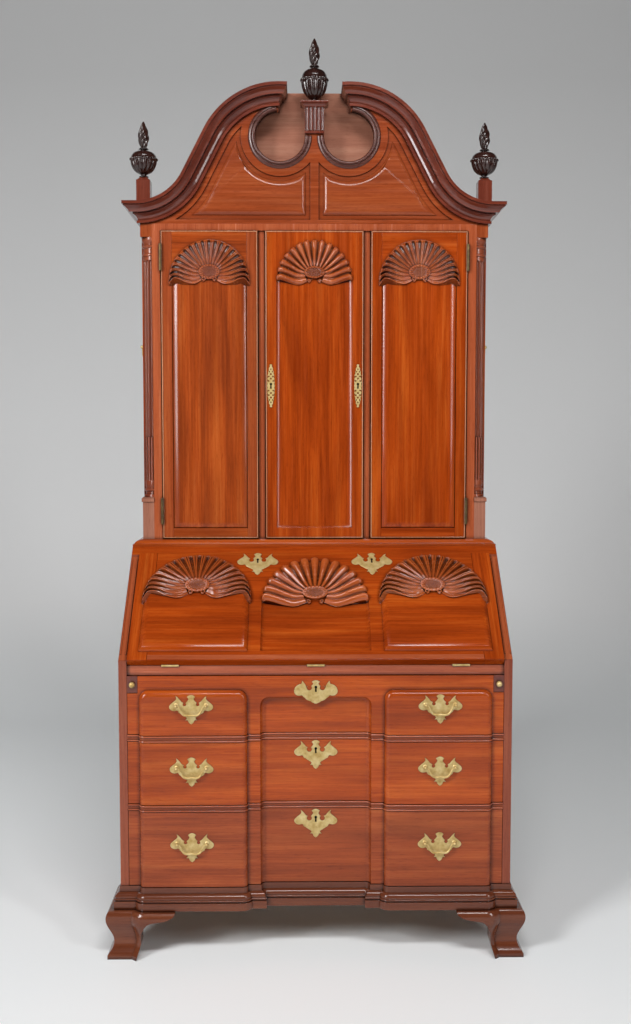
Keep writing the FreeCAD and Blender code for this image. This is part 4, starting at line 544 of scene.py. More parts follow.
class Shell(NamedTuple):
    """Sizes of one kind of shell, in millimetres from the middle of its oval."""
    half: float
    top: float
    tip: float
    oval: tuple
    edge: tuple
    rays: int
    bold: bool
    low: float
    high: float
    cut: float

    def hub(self, turn):
        """Point on the oval at an angle from its top."""
        return Vector((self.oval[0] * math.sin(turn), self.oval[1] * math.cos(turn)))

    def ray(self, u, t, reach=1.0):
        """Point on the ray at u (-1 to 1 round the fan), from the oval at t = 0 to the rim at 1."""
        side = 1 if u >= 0 else -1
        bend = abs(u) ** 4
        arch_centre = self.tip * ARCH_SHARE
        arch_rise = self.top - arch_centre
        widest = math.acos((self.tip - arch_centre) / arch_rise)
        turn = widest * abs(u)
        rim = Vector((self.half * math.sin(turn), arch_centre + arch_rise * math.cos(turn)))
        start, end = Vector(self.edge[0]), Vector(self.edge[-1])
        hub = self.hub(HUB_TURN * abs(u)) + bend * (start - self.hub(HUB_TURN))
        rim = rim + bend * (end - Vector((self.half * math.sin(widest), self.tip)))
        t = t * reach
        sway = through(self.edge, t) - (start + (end - start) * t)
        place = hub + (rim - hub) * t + bend * sway
        return side * place.x, place.y

    def off_middle(self, u):
        """How far a place round the fan lies from the middle of its ray, up to 1 at the ray's edge."""
        steps = abs(u) * self.rays / 2
        return abs((steps + 0.5) % 1 - 0.5) * 2

    def height(self, u, t):
        """Height of the carving: a dome with ridged rays if bold, else a dish with lobed rays."""
        d = self.off_middle(u)
        if self.bold:
            rim = 1 - 0.85 * smoothstep(0.965, 1.0, t)
            dome = self.low + (self.high - self.low) * (1 - 0.42 * t ** 4) * rim
            depth = self.cut * (0.30 + 0.70 * smoothstep(0.0, 0.75, t) + 0.45 * smoothstep(0.62, 0.88, t))
            depth *= 1 - smoothstep(0.91, 0.97, t)
            depth *= 1 - 0.45 * smoothstep(0.93, 1.0, abs(u))
            return dome - 0.35 * self.cut - 2.0 * math.exp(-(t / 0.10) ** 2) + depth * ridged(d)
        dish = self.low + (self.high - self.low) * smoothstep(0.15, 0.95, t)
        depth = self.cut * (0.35 + 0.65 * smoothstep(0.0, 0.6, t))
        end = math.sqrt(max(0.0, 1 - (max(t - 0.86, 0) / 0.14) ** 2))
        return self.low + (dish - self.low + self.cut + depth * lobed(d)) * (0.25 + 0.75 * end)

    def reach(self, u):
        """Share of the ray's length that is carved: the cuts of a hollow shell stop short."""
        if self.bold:
            return 1.0
        return 1.0 - 0.085 * smoothstep(0.45, 1.0, self.off_middle(u))

    def fan(self, floor):
        """The rays as one skin with a skirt down to the floor."""
        columns = self.rays * RAY_STEPS + 1
        points = []
        for i in range(columns):
            u = -1 + 2 * i / (columns - 1)
            reach = self.reach(u)
            column = []
            for j in range(SHELL_ROWS):
                t = j / (SHELL_ROWS - 1)
                x, y = self.ray(u, t, reach)
                column.append((x, y, self.height(u, t)))
            skirt = [(column[0][0], column[0][1], floor)]
            points += skirt + column + [(column[-1][0], column[-1][1], floor)]
        rows = SHELL_ROWS + 2
        faces = grid_faces(columns, rows)
        for ends in (0, columns - 1):
            edge = [ends * rows + j for j in range(rows)]
            faces.append(tuple(edge))
        return points, faces

    def boss(self, base):
        """Oval at the fan's root: cross-cut middle inside a border of small petals."""
        points = []
        for i in range(BOSS_SIDES):
            angle = 2 * math.pi * i / BOSS_SIDES
            for j in range(BOSS_ROWS):
                r = BOSS_REACH * (j / (BOSS_ROWS - 1))
                x = self.oval[0] * r * math.cos(angle)
                y = self.oval[1] * r * math.sin(angle)
                height = base + BOSS_RISE
                if r < HATCH_EDGE:
                    cuts = (math.sin((x + y) * HATCH_PITCH), math.sin((x - y) * HATCH_PITCH))
                    height += HATCH_RISE * abs(cuts[0]) * abs(cuts[1])
                else:
                    border = math.sin(math.pi * (r - HATCH_EDGE) / (BOSS_REACH - HATCH_EDGE))
                    height += PETAL_RISE * border * (0.30 + 0.70 * abs(math.cos(PETALS / 2 * angle)))
                points.append((x, y, height if j < BOSS_ROWS - 1 else base - BOSS_SKIRT))
        return points, grid_faces(BOSS_SIDES, BOSS_ROWS, closed=True)

    def curl(self, side, height):
        """Small scroll beside the oval at the end of the lower edge."""
        centre = Vector(self.edge[0]) + Vector((-0.16 * self.oval[0], 0.22 * self.oval[1]))
        path, radii = [], []
        for k in range(CURL_STEPS + 1):
            share = k / CURL_STEPS
            angle = math.pi * between(*CURL_TURNS, share)
            r = 0.30 * self.oval[1] * (1 - 0.72 * share)
            path.append((side * (centre.x - r * math.cos(angle)), centre.y + r * math.sin(angle), height))
            radii.append(between(*CURL_RADII, share))
        return tube(path, radii, 8)


# Outer shells of fall front and doors are bold, the middle ones hollow
LID_BOLD = Shell(half=152, top=113.5, tip=-56, oval=(34, 24), rays=19, bold=True, low=1.2, high=18.0, cut=6.2,
                 edge=((24, -30), (50, -47), (84, -40), (112, -25), (136, -25), (152, -56)))
LID_HOLLOW = Shell(half=150, top=123, tip=-42, oval=(35, 22), rays=15, bold=False, low=-8.6, high=2.5,
                   cut=6.4, edge=((25, -34), (58, -47), (90, -42), (118, -34), (138, -31), (150, -36)))
DOOR_BOLD = Shell(half=117, top=93, tip=-40, oval=(30, 21), rays=19, bold=True, low=0.8, high=11.4, cut=4.8,
                  edge=((22, -25), (42, -35), (66, -31), (88, -21), (104, -21), (117, -40)))
DOOR_HOLLOW = Shell(half=110, top=93, tip=-30, oval=(29, 17), rays=15, bold=False, low=-7.6, high=1.2,
                    cut=5.0, edge=((21, -27), (44, -36), (66, -32), (86, -25), (100, -22), (110, -28)))


def carved(name, shell, place, floor, material, body, slot, *nodes):
    """A shell as a piece: its fan, its oval and two small scrolls."""
    base = shell.height(0.5, 0.0) - 0.6
    edge = shell.height(1.0, 0.06)
    parts = [shell.fan(floor), shell.boss(base)]
    parts += [shell.curl(side, edge) for side in (-1, 1)]
    return piece(name, joined(parts), place, material, body, slot, *nodes, sharp=50)


LID_PLACE = face_place(0, LID_AXIS_Y, WRITING_Z, SLANT)
LID_FACE = LID_PLACE @ Matrix.Translation((0, 0, LID_T))
LID_SHELL_X = 331.0
LID_SHELL_S = 244.5
LID_HOLLOW_S = LID_SHELL_S - 16.0
DOOR_SHELL_Z = DOOR_HIGH - 118.0
BOLD_FLOOR = -1.0
LID_HOLLOW_FLOOR = -9.5
DOOR_HOLLOW_FLOOR = -8.5


def carve_shells():
    lid_nodes = ("lid_shells",)
    for side, word in ((-1, "left"), (1, "right")):
        place = LID_FACE @ Matrix.Translation((side * LID_SHELL_X, LID_SHELL_S, 0))
        carved("lid_shell_" + word, LID_BOLD, place, BOLD_FLOOR, CARVED_MAHOGANY["x"], "lid", "mahogany",
               *lid_nodes)
        lid_nodes = ()
    carved("lid_shell_centre", LID_HOLLOW, LID_FACE @ Matrix.Translation((0, LID_HOLLOW_S, 0)),
           LID_HOLLOW_FLOOR, CARVED_MAHOGANY["x"], "lid", "mahogany")
    middle = sum(OUTER_DOOR) / 2
    for side, name in ((-1, "left_door"), (1, "right_door")):
        place = face_place(side * middle, DOOR_FACE_Y, DOOR_SHELL_Z)
        carved(name + "_carving", DOOR_BOLD, place, BOLD_FLOOR, CARVED_MAHOGANY["z"], name, "mahogany",
               name + "_shell")
    carved("centre_door_carving", DOOR_HOLLOW, face_place(0, DOOR_FACE_Y, DOOR_SHELL_Z), DOOR_HOLLOW_FLOOR,
           CARVED_MAHOGANY["z"], "centre_door", "mahogany", "centre_door_shell")


carve_shells()


# Outlines: closed loops of (across, along) points that run anticlockwise

def inset(outline, distance):
    """Outline moved inwards by a distance."""
    moved = []
    for i, p in enumerate(outline):
        here = Vector(p)
        before = here - Vector(outline[i - 1])
        after = Vector(outline[(i + 1) % len(outline)]) - here
        bisector = Vector((-before.y, before.x)).normalized() + Vector((-after.y, after.x)).normalized()
        moved.append(tuple(here + bisector * (2 * distance / max(bisector.length_squared, 1.1))))
    return moved


def at_height(outline, height):
    """An outline lifted to a height."""
    return [(x, y, height) for x, y in outline]


def flat_face(loops, height):
    """Flat face between an outer loop and its holes."""
    corners = [[Vector((x, y, 0)) for x, y in loop] for loop in loops]
    points = [(x, y, height) for loop in loops for x, y in loop]
    return points, [tuple(triangle) for triangle in tessellate_polygon(corners)]


def plate_parts(outline, holes, low, high, bevel):
    """Plate with bevelled edges and pierced holes."""
    parts = []
    for loop, way in [(outline, 1)] + [(hole, -1) for hole in holes]:
        parts.append(rings([at_height(loop, low), at_height(loop, high - bevel),
                            at_height(inset(loop, way * bevel), high)], cap_end=False))
    parts.append(flat_face([inset(outline, bevel)] + [inset(hole, -bevel) for hole in holes], high))
    parts.append(flat_face([outline] + holes, low))
    return parts


def sunk_board(x0, x1, y0, y1, low, outline, sunk_edge, ease=1.0):
    """Board whose face is at height 0, with a panel sunk in it behind a shaped edge."""
    sides = [(ease, low), (0, low + ease), (0, -ease), (ease * 0.3, -ease * 0.3), (ease, 0)]
    edge = [(x0 + ease, y0 + ease), (x1 - ease, y0 + ease), (x1 - ease, y1 - ease), (x0 + ease, y1 - ease)]
    return [rings(rectangle_rings(x0, x1, y0, y1, sides), cap_start=True, cap_end=False),
            flat_face([edge, outline], 0.0),
            rings([at_height(inset(outline, d), h) for d, h in sunk_edge])]


def arched(half, low, spring, top, steps=44):
    """Panel outline with an arched head."""
    head = [(half * math.cos(math.pi * k / steps), spring + (top - spring) * math.sin(math.pi * k / steps))
            for k in range(steps + 1)]
    return [(-half, low), (half, low)] + head


def cove(width, depth, steps=8):
    """Concave edge from a face down to a floor."""
    turns = [math.pi / 2 * k / steps for k in range(steps + 1)]
    return [(width * (1 - math.cos(a)), -depth * math.sin(a)) for a in turns]


def rounded(foot, crown, steepest, steps=14):
    """Bevel from foot to crown as (inset, height), steepest at its edge and easing to flat."""
    turn = math.radians(steepest)
    radius = (crown - foot) / (1 - math.cos(turn))
    turns = [turn * (1 - k / steps) for k in range(steps + 1)]
    return [(radius * (math.sin(turn) - math.sin(a)), crown - radius * (1 - math.cos(a))) for a in turns]


def eased(foot, crown, runs, steps=6):
    """Bevel as (inset, height) rows over runs of (length, first tilt, last tilt), fitted to its height."""
    rows = [(0.0, 0.0)]
    for length, start, end in runs:
        for k in range(steps):
            across, up = rows[-1]
            tilt = math.radians(between(start, end, (k + 0.5) / steps))
            rows.append((across + length / steps, up + length / steps * math.tan(tilt)))
    fit = (crown - foot) / rows[-1][1]
    return [(across, foot + up * fit) for across, up in rows]


def bead_loop(x0, x1, y0, y1, width, proud):
    """Half-round bead round a rectangle."""
    section = [(0, -2.0), (0, 0.25 * proud), (0.2 * width, 0.8 * proud), (0.5 * width, proud),
               (0.8 * width, 0.8 * proud), (width, 0.25 * proud), (width, -2.0), (0, -2.0)]
    return rings(rectangle_rings(x0, x1, y0, y1, section), cap_end=False)


# Fall front, drawn on its slope

LID_HALF = 506.4
LID_SEAM = 453.4
LID_SEAM_GAP = 0.3
LID_LOW = 0.6
LID_LEN = 371.2
LID_FIELD_X = (184.0, 478.5)
LID_FIELD_S = (28.0, 232.0)
LID_LIP_HALF = LID_SEAM - 1.0
LID_LIP = (3.0, 17.0, -1.0, 0.3, 0.25)
LID_SUNK = arched(150.0, 30.0, 196.0, 326.0)
FIELD_EDGE = [(0, -3.0)] + rounded(0.3, 12.5, 55)
SUNK_EDGE = cove(14.0, 8.8, 12)
SIDE_EDGE_N = 17.0
SIDE_BEADS_X = (511.5, 526.5)
SIDE_BEAD_RUN = (24.0, 190.0, 356.0)
SIDE_BEAD_R = 2.2
EDGE_STRIP_X = (507.6, 529.5)
EDGE_STRIP = (6.0, 364.0, 15.0, 17.4)
DESK_TOP_BEADS_Z = (DESK_TOP_Z - 4.0, DESK_TOP_Z - 19.0)
DESK_TOP_EDGE_Y = CASE_FRONT_Y + 286.0
DESK_TOP_BEAD_RUN = (-529.0, 0.0, 529.0)
DESK_TOP_BEAD_R = 2.0
AS_DRAWN = Matrix.Scale(MM, 4)


def both_sides(span):
    """A span on the right and its mirror on the left."""
    return span, (-span[1], -span[0])


def make_lid():
    board = sunk_board(-LID_SEAM, LID_SEAM, LID_LOW, LID_LEN, -LID_T, LID_SUNK, SUNK_EDGE)
    piece("lid_front", joined(board), LID_FACE, MAHOGANY["x"], "lid", "mahogany", "lid_board")
    cleats = [box_part(*span, LID_LOW, LID_LEN, -LID_T, 0)
              for span in both_sides((LID_SEAM + LID_SEAM_GAP, LID_HALF))]
    piece("lid_cleats", joined(cleats), LID_FACE, MAHOGANY["slope"], "lid", "mahogany")
    lip = box_part(-LID_LIP_HALF, LID_LIP_HALF, *LID_LIP)
    # Lid's lip in the paler bead wood: a painted highlight along the lower edge
    piece("lid_lip", joined([lip]), LID_FACE, BEAD_MAHOGANY["x"], "lid", "mahogany")
    fields = [rings(rectangle_rings(*span, *LID_FIELD_S, FIELD_EDGE), cap_start=True)
              for span in both_sides(LID_FIELD_X)]
    piece("lid_fields", joined(fields), LID_FACE, MAHOGANY["x"], "lid", "mahogany")
    beads = [tube([(side * x, s, SIDE_EDGE_N) for s in SIDE_BEAD_RUN], [SIDE_BEAD_R] * 3, 16)
             for side in (-1, 1) for x in SIDE_BEADS_X]
    beads += [box_part(*span, *EDGE_STRIP) for span in both_sides(EDGE_STRIP_X)]
    piece("slanted_edge_beads", joined(beads), LID_PLACE, BEAD_MAHOGANY["slope"], "case", "mahogany")
    beads = [tube([(x, DESK_TOP_EDGE_Y, z) for x in DESK_TOP_BEAD_RUN], [DESK_TOP_BEAD_R] * 3, 16)
             for z in DESK_TOP_BEADS_Z]
    piece("desk_top_beads", joined(beads), AS_DRAWN, BEAD_MAHOGANY["x"], "case", "mahogany")


make_lid()


# Block front in plan, and the beads along the drawer dividers

DIVIDERS = ((400.0, 418.0), (590.0, 608.0))
DIVIDER_BEAD_R = 2.5
DIVIDER_BEAD_IN = 0.1
DIVIDER_BEAD_OUT = 0.5
DIVIDER_HALF = 507.0
RECESS_HALF = 150.0
RECESS_D = 18.0
COVE_R = 16.0
LEAST_COVE_R = 0.6
BLOCK_R = 15.0
BLOCK_ROUNDS_X = (200.0, 460.0)
BLOCK_ROUNDS_Y = -2.0
PLAIN_OFF = 1.6


def quarter(x, y, radius, start, end, steps=8):
    """Points of an arc from one angle to another, in degrees."""
    turns = [math.radians(between(start, end, k / steps)) for k in range(steps + 1)]
    return [(x + radius * math.cos(a), y + radius * math.sin(a)) for a in turns]


def block_line(off, edge):
    """Right half of the block front, moved out by off: recess, cove, strip, block and outer strip."""
    cove_r, round_r = max(COVE_R - off, LEAST_COVE_R), BLOCK_R + off
    lean = math.degrees(math.asin(max(off - PLAIN_OFF, 0.0) / round_r))
    first = quarter(BLOCK_ROUNDS_X[0], BLOCK_ROUNDS_Y, round_r, 180 + lean, 270)
    last = quarter(BLOCK_ROUNDS_X[1], BLOCK_ROUNDS_Y, round_r, -90, -lean)
    wall, floor = RECESS_HALF - off, RECESS_D - off
    return ([(0, floor)] + quarter(wall - cove_r, floor - cove_r, cove_r, 90, 0)
            + [(wall, -off), (first[0][0], -off)] + first + last + [(last[-1][0], -off), (edge, -off)])


def mirrored(line):
    """A right half's line with its left half before it."""
    return [(-x, y) for x, y in reversed(line)] + line


def make_divider_beads():
    line = mirrored(block_line(0.0, DIVIDER_HALF)[1:])
    inwards = DIVIDER_BEAD_R + DIVIDER_BEAD_IN
    beads = []
    for low, high in DIVIDERS:
        for z in (low + inwards, high - inwards):
            path = [(x, CASE_FRONT_Y + y - DIVIDER_BEAD_OUT, z) for x, y in line]
            beads.append(tube(path, [DIVIDER_BEAD_R] * len(path), 12))
    piece("divider_beads", joined(beads), AS_DRAWN, BEAD_MAHOGANY["x"], "case", "mahogany")


make_divider_beads()


# Base moulding and ogee feet, swept along the same line; rows are (share of the height, size)

CASE_HALF = 530.0
CASE_DEPTH = 580.0
BOARD_BACK = 36.0
FOOT_H = 132.0
BASE_H = 60.0
OGEE_MAX = 36.5
BRACKET_T = 20.0
FOOT_ROWS = 120
OGEE_STEPS = 200
BASE_ROWS = ((0.0, 16.0), (0.02, 16.8), (0.05, 17.0), (0.33, 17.0), (0.35, 16.5), (0.362, 15.0),
             (0.366, 13.0), (0.40, 13.0), (0.405, 14.4), (0.42, 15.7), (0.445, 16.2), (0.47, 15.7),
             (0.485, 14.4), (0.49, 13.2), (0.52, 13.4), (0.56, 13.4), (0.60, 12.8), (0.64, 11.6),
             (0.68, 9.8), (0.715, 7.2), (0.735, 5.0), (0.745, 2.9), (0.76, 2.5), (1.0, 2.5))
OGEE = ((0.0, 33.0), (0.03, 33.2), (0.06, 33.1), (0.085, 32.6), (0.10, 31.2), (0.13, 28.6), (0.17, 24.4),
        (0.22, 20.2), (0.30, 17.2), (0.38, 17.0), (0.46, 19.2), (0.55, 23.8), (0.64, 29.0), (0.73, 33.6),
        (0.81, 36.0), (0.88, 36.2), (0.94, 34.5), (0.98, 31.4), (1.0, 29.0))
OGEE_LINE = [tuple(through(OGEE, k / OGEE_STEPS)) for k in range(OGEE_STEPS + 1)]
BRACKET = ((0.0, 82.0), (0.15, 88.0), (0.30, 93.5), (0.42, 93.6), (0.52, 95.0), (0.62, 100.0), (0.70, 105.0),
           (0.76, 111.0), (0.80, 120.0), (0.818, 132.0), (0.832, 146.0), (0.85, 158.0), (0.87, 167.0),
           (0.90, 176.0), (0.94, 184.0), (1.0, 188.0))


def stepped(rows, place):
    """Size at a place between (place, size) rows."""
    for (a, low), (b, high) in zip(rows, rows[1:]):
        if place <= b:
            return between(low, high, (place - a) / (b - a))
    return rows[-1][1]


def base_part():
    """Base moulding along the block front and both sides."""
    outlines = []
    for share, off in BASE_ROWS:
        side = CASE_HALF + off
        loop = mirrored(block_line(off, side)[1:])
        loop += [(side, CASE_DEPTH), (CASE_HALF, CASE_DEPTH), (CASE_HALF, BOARD_BACK),
                 (-CASE_HALF, BOARD_BACK), (-CASE_HALF, CASE_DEPTH), (-side, CASE_DEPTH)]
        outlines.append(at_height(loop, FOOT_H + share * BASE_H))
    return rings(outlines, cap_start=True)


def foot_part(side):
    """Front foot: its two brackets reach less far the lower they go, down to the pad."""
    outlines = []
    for k in range(FOOT_ROWS + 1):
        share = k / FOOT_ROWS
        off, reach = stepped(OGEE_LINE, share), stepped(BRACKET, share)
        end = CASE_HALF + OGEE_MAX - reach
        line = block_line(off, CASE_HALF + off)
        level = stepped([p for p in line if p[0] >= BLOCK_ROUNDS_X[0]], end)
        loop = [(x, y) if x > end else (end, level) for x, y in line]
        back = reach - OGEE_MAX
        loop += [(CASE_HALF + off, back), (CASE_HALF - BRACKET_T, back), (CASE_HALF - BRACKET_T, BRACKET_T),
                 (end, BRACKET_T)]
        outlines.append([(side * x, y, share * FOOT_H) for x, y in loop])
    return rings(outlines, cap_start=True)


def make_foundation():
    place = Matrix.Translation((0, CASE_FRONT_Y * MM, 0)) @ AS_DRAWN
    piece("base_mouldings", joined([base_part()]), place, UMBER_MAHOGANY["x"], "case", "mahogany",
          "base_moulding")
    piece("ogee_feet", joined([foot_part(-1), foot_part(1)]), place, UMBER_MAHOGANY["x"], "case", "mahogany",
          "front_feet")


make_foundation()


# Bookcase doors

PANEL_LOW = DOOR_LOW + DOOR_RAIL
PANEL_UP = DOOR_SHELL_Z - 12.0
PANEL_EDGE = [(0, -8.0)] + eased(-3.0, 5.3, ((3.0, 50, 31), (13.0, 31, 13), (3.5, 13, 0)))
PANEL_LAP = 4.0
PANEL_GROUND = (-15.0, -3.0)
DOOR_COVE = [(0, 0), (0.6, -0.4), (1.2, -1.6)]
DOOR_COVE += [(1.8 + d, h) for d, h in eased(-3.4, -7.8, ((10.0, 33, 14), (2.0, 14, 0)))]
DOOR_SUNK = arched(CENTRE_DOOR_HALF - DOOR_STILE, PANEL_LOW, DOOR_SHELL_Z - 36.0, DOOR_SHELL_Z + 78.0)
DOOR_BEAD_IN = 0.6
DOOR_BEAD = (3.0, 1.6)
DOOR_PLACE = face_place(0, DOOR_FACE_Y, 0)
DOOR_WOODS = {"left_door": (DOOR_MAHOGANY, DULL_SHADED_MAHOGANY), "right_door": (MAHOGANY, MAHOGANY)}


def make_door_bead(name, x0, x1):
    """Bead round the edge of a door's face."""
    bead = bead_loop(x0 + DOOR_BEAD_IN, x1 - DOOR_BEAD_IN, DOOR_LOW + DOOR_BEAD_IN, DOOR_HIGH - DOOR_BEAD_IN,
                     *DOOR_BEAD)
    # Door bead in pale wood: a painted highlight along the bead
    piece(name + "_bead", joined([bead]), DOOR_PLACE, PAINTED_HIGHLIGHT_MAHOGANY["z"], name, "mahogany")


def make_outer_door(name, x0, x1):
    """Framed door with a raised panel."""
    wood, stile_wood = DOOR_WOODS[name]
    inner0, inner1 = x0 + DOOR_STILE, x1 - DOOR_STILE
    stiles = [box_part(*span, DOOR_LOW, DOOR_HIGH, -DOOR_T, 0) for span in ((x0, inner0), (inner1, x1))]
    piece(name + "_stiles", joined(stiles), DOOR_PLACE, stile_wood["z"], name, "mahogany", name)
    rails = [box_part(inner0, inner1, *span, -DOOR_T, 0)
             for span in ((DOOR_LOW, PANEL_LOW), (DOOR_SHELL_Z - DOOR_RAIL, DOOR_HIGH))]
    piece(name + "_rails", joined(rails), DOOR_PLACE, wood["x"], name, "mahogany")
    make_door_bead(name, x0, x1)
    panel = rings(rectangle_rings(inner0, inner1, PANEL_LOW, PANEL_UP, PANEL_EDGE), cap_start=True)
    ground = box_part(inner0 - PANEL_LAP, inner1 + PANEL_LAP, PANEL_LOW - PANEL_LAP, DOOR_SHELL_Z,
                      *PANEL_GROUND)
    piece(name + "_panel", joined([panel, ground]), DOOR_PLACE, wood["z"], name, "mahogany")


def make_centre_door():
    """Door with a sunk panel."""
    half = CENTRE_DOOR_HALF
    board = sunk_board(-half, half, DOOR_LOW, DOOR_HIGH, -DOOR_T, DOOR_SUNK, DOOR_COVE)
    piece("centre_door_front", joined(board), DOOR_PLACE, MAHOGANY["z"], "centre_door", "mahogany",
          "centre_door")
    make_door_bead("centre_door", -half, half)


right_span, left_span = both_sides(OUTER_DOOR)
make_outer_door("left_door", *left_span)
make_outer_door("right_door", *right_span)
make_centre_door()


# Quarter columns with stopped flutes; rows of base and cap are (rise, radius)

COLUMN_X = 470.0
COLUMN_Y = CASE_FRONT_Y + 346.0
SHAFT_R = 28.8
BOOK_HALF = 503.0
BOOK_FRONT_Y = CASE_FRONT_Y + 313.0
PLINTH_TOP = DESK_TOP_Z + 142.0
CAP_LOW = BOOK_TOP_Z - 92.0
CAP_TOP = BOOK_TOP_Z - 38.0
COLUMN_BASE = [(0, 33), (7, 33), (8, 32.4), (9, 28), (16, 28), (18, 30.5), (21, 32), (24, 30.5),
               (26, 28), (32, 28), (34, 29.5), (36, 28.5), (37, SHAFT_R)]
COLUMN_CAP = [(0, SHAFT_R), (1, 31), (4, 32), (7, 31), (9, 28.4), (23, 28.4), (25, 31), (28, 32.2),
              (31, 31), (33, 28.4), (37, 28.8), (41, 30.5), (45, 32.6), (47, 33), (54, 33)]
FLUTE_LOW = PLINTH_TOP + 48.0
FLUTE_STOP = PLINTH_TOP + 176.0
FLUTE_HIGH = CAP_LOW - 10.0
FLUTE_COUNT = 4
FLUTE_SHARE = 0.84
FLUTE_D = 4.6
FLUTE_END = 4
FILLED_SHARE = 0.8
COLUMN_STEPS = 88
# Blocks under and over a column: low, high and how far the block stands out
PLINTH_BLOCKS = ((DESK_TOP_Z, PLINTH_TOP - 14, 0.0), (PLINTH_TOP - 14, PLINTH_TOP - 3, 3.0),
                 (PLINTH_TOP - 3, PLINTH_TOP, 0.6))
CAP_BLOCKS = ((CAP_TOP, BOOK_TOP_Z, 0.0),)
BLOCK_EASE = 0.7


def fluted(share, z):
    """How far the shaft is cut at a share of its quarter turn: open flutes over filled ones."""
    d = abs(share * FLUTE_COUNT % 1 - 0.5) * 2 / FLUTE_SHARE
    if d >= 1 or not FLUTE_LOW < z < FLUTE_HIGH:
        return 0.0
    scoop = FLUTE_D * math.sqrt(1 - d * d)
    ends = min(1.0, (z - FLUTE_LOW) / FLUTE_END, (FLUTE_HIGH - z) / FLUTE_END)
    if z < FLUTE_STOP:
        return ends * (FLUTE_D - scoop) * FILLED_SHARE
    return ends * scoop


def column_part(side):
    """One quarter column from its base to its cap."""
    shaft = [FLUTE_LOW + step for step in (-3, 0, 0.5, 2, 4)] + [FLUTE_STOP - 0.3, FLUTE_STOP + 0.3]
    shaft += [FLUTE_HIGH + step for step in (-4, -2, -0.5, 0, 3)]
    rows = [(PLINTH_TOP + rise, r) for rise, r in COLUMN_BASE] + [(z, SHAFT_R) for z in shaft]
    rows += [(CAP_LOW + rise, r) for rise, r in COLUMN_CAP]
    outlines = []
    for z, radius in rows:
        ring = [(side * COLUMN_X, COLUMN_Y, z)]
        for k in range(COLUMN_STEPS + 1):
            share = k / COLUMN_STEPS
            turn = math.pi / 2 * share
            r = radius - fluted(share, z)
            ring.append((side * (COLUMN_X + r * math.cos(turn)), COLUMN_Y - r * math.sin(turn), z))
        outlines.append(ring)
    return rings(outlines, cap_start=True)


def column_blocks(blocks):
    """Square blocks at both columns."""
    return [box_part(*span, BOOK_FRONT_Y - lip, COLUMN_Y, low, high, BLOCK_EASE)
            for low, high, lip in blocks for span in both_sides((COLUMN_X, BOOK_HALF + lip))]


def make_columns():
    piece("column_plinths", joined(column_blocks(PLINTH_BLOCKS)), AS_DRAWN, DUSTY_MAHOGANY["z"], "case",
          "mahogany")
    # Column caps take the wood darkened as painted shade
    piece("column_caps", joined(column_blocks(CAP_BLOCKS)), AS_DRAWN, SHADED_DEEP_MAHOGANY["z"], "case", "mahogany")
    piece("fluted_columns", joined([column_part(-1), column_part(1)]), AS_DRAWN, BROWN_MAHOGANY["z"], "case",
          "mahogany", "corner_columns")


make_columns()


# Pediment: the scroll's line is two arcs and the line that touches both

LOW_ARC = (510.0, BOOK_TOP_Z + 205.98, 205.98)
HIGH_ARC = (100.0, BOOK_TOP_Z + 146.98, 185.0)
RING_MIDDLE = (98.99, BOOK_TOP_Z + 248.48)
RING_R = 72.99


def scroll_turn():
    """Angle through which each arc of the scroll turns."""
    dx, dz = LOW_ARC[0] - HIGH_ARC[0], LOW_ARC[1] - HIGH_ARC[1]
    return math.asin((LOW_ARC[2] + HIGH_ARC[2]) / math.hypot(dx, dz)) - math.atan2(dz, dx)


TURN = scroll_turn()


def scroll_line(drop, steps=160):
    """Points of the right scroll's line, from its foot to its end, lowered along its normal."""
    low_r, high_r = LOW_ARC[2] + drop, HIGH_ARC[2] - drop
    line = []
    for k in range(steps + 1):
        angle = TURN * k / steps
        line.append((LOW_ARC[0] - low_r * math.sin(angle), LOW_ARC[1] - low_r * math.cos(angle)))
    for k in range(steps + 1):
        angle = TURN * (1 - k / steps)
        line.append((HIGH_ARC[0] + high_r * math.sin(angle), HIGH_ARC[1] + high_r * math.cos(angle)))
    return line


def evenly(line, count):
    """A line's points placed again at even distances."""
    line = [Vector(p) for p in line]
    lengths = [0.0]
    for a, b in zip(line, line[1:]):
        lengths.append(lengths[-1] + (b - a).length)
    placed = []
    k = 0
    for i in range(count):
        target = lengths[-1] * i / (count - 1)
        while k < len(line) - 2 and lengths[k + 1] < target:
            k += 1
        span = max(lengths[k + 1] - lengths[k], 1e-9)
        placed.append(tuple(line[k] + (line[k + 1] - line[k]) * ((target - lengths[k]) / span)))
    return placed


def pediment_field(drop, floor, bar, ring_r):
    """Right panel's outline: along the floor, back under the scroll, round the ring, down the middle bar."""
    cx, cz = RING_MIDDLE
    under = [p for p in scroll_line(drop) if p[1] >= floor and math.hypot(p[0] - cx, p[1] - cz) >= ring_r]
    foot = (LOW_ARC[0] - math.sqrt((LOW_ARC[2] + drop) ** 2 - (LOW_ARC[1] - floor) ** 2), floor)
    start = math.atan2(under[-1][1] - cz, under[-1][0] - cx)
    end = math.atan2(-math.sqrt(ring_r ** 2 - (cx - bar) ** 2), bar - cx)
    round_ring = [(cx + ring_r * math.cos(between(start, end, k / 40)),
                   cz + ring_r * math.sin(between(start, end, k / 40))) for k in range(41)]
    return (evenly([(bar, floor), foot], 24)[:-1] + evenly([foot] + under, 48)[:-1]
            + evenly(round_ring, 32)[:-1] + evenly([round_ring[-1], (bar, floor)], 10)[:-1])


PEDIMENT_STEPS = [(0, -6.0)] + eased(0.6, 7.8, ((4.0, 48, 26), (12.0, 26, 7), (3.0, 7, 0)))
SUNK_FACE_Y = BOOK_FRONT_Y + 4.0
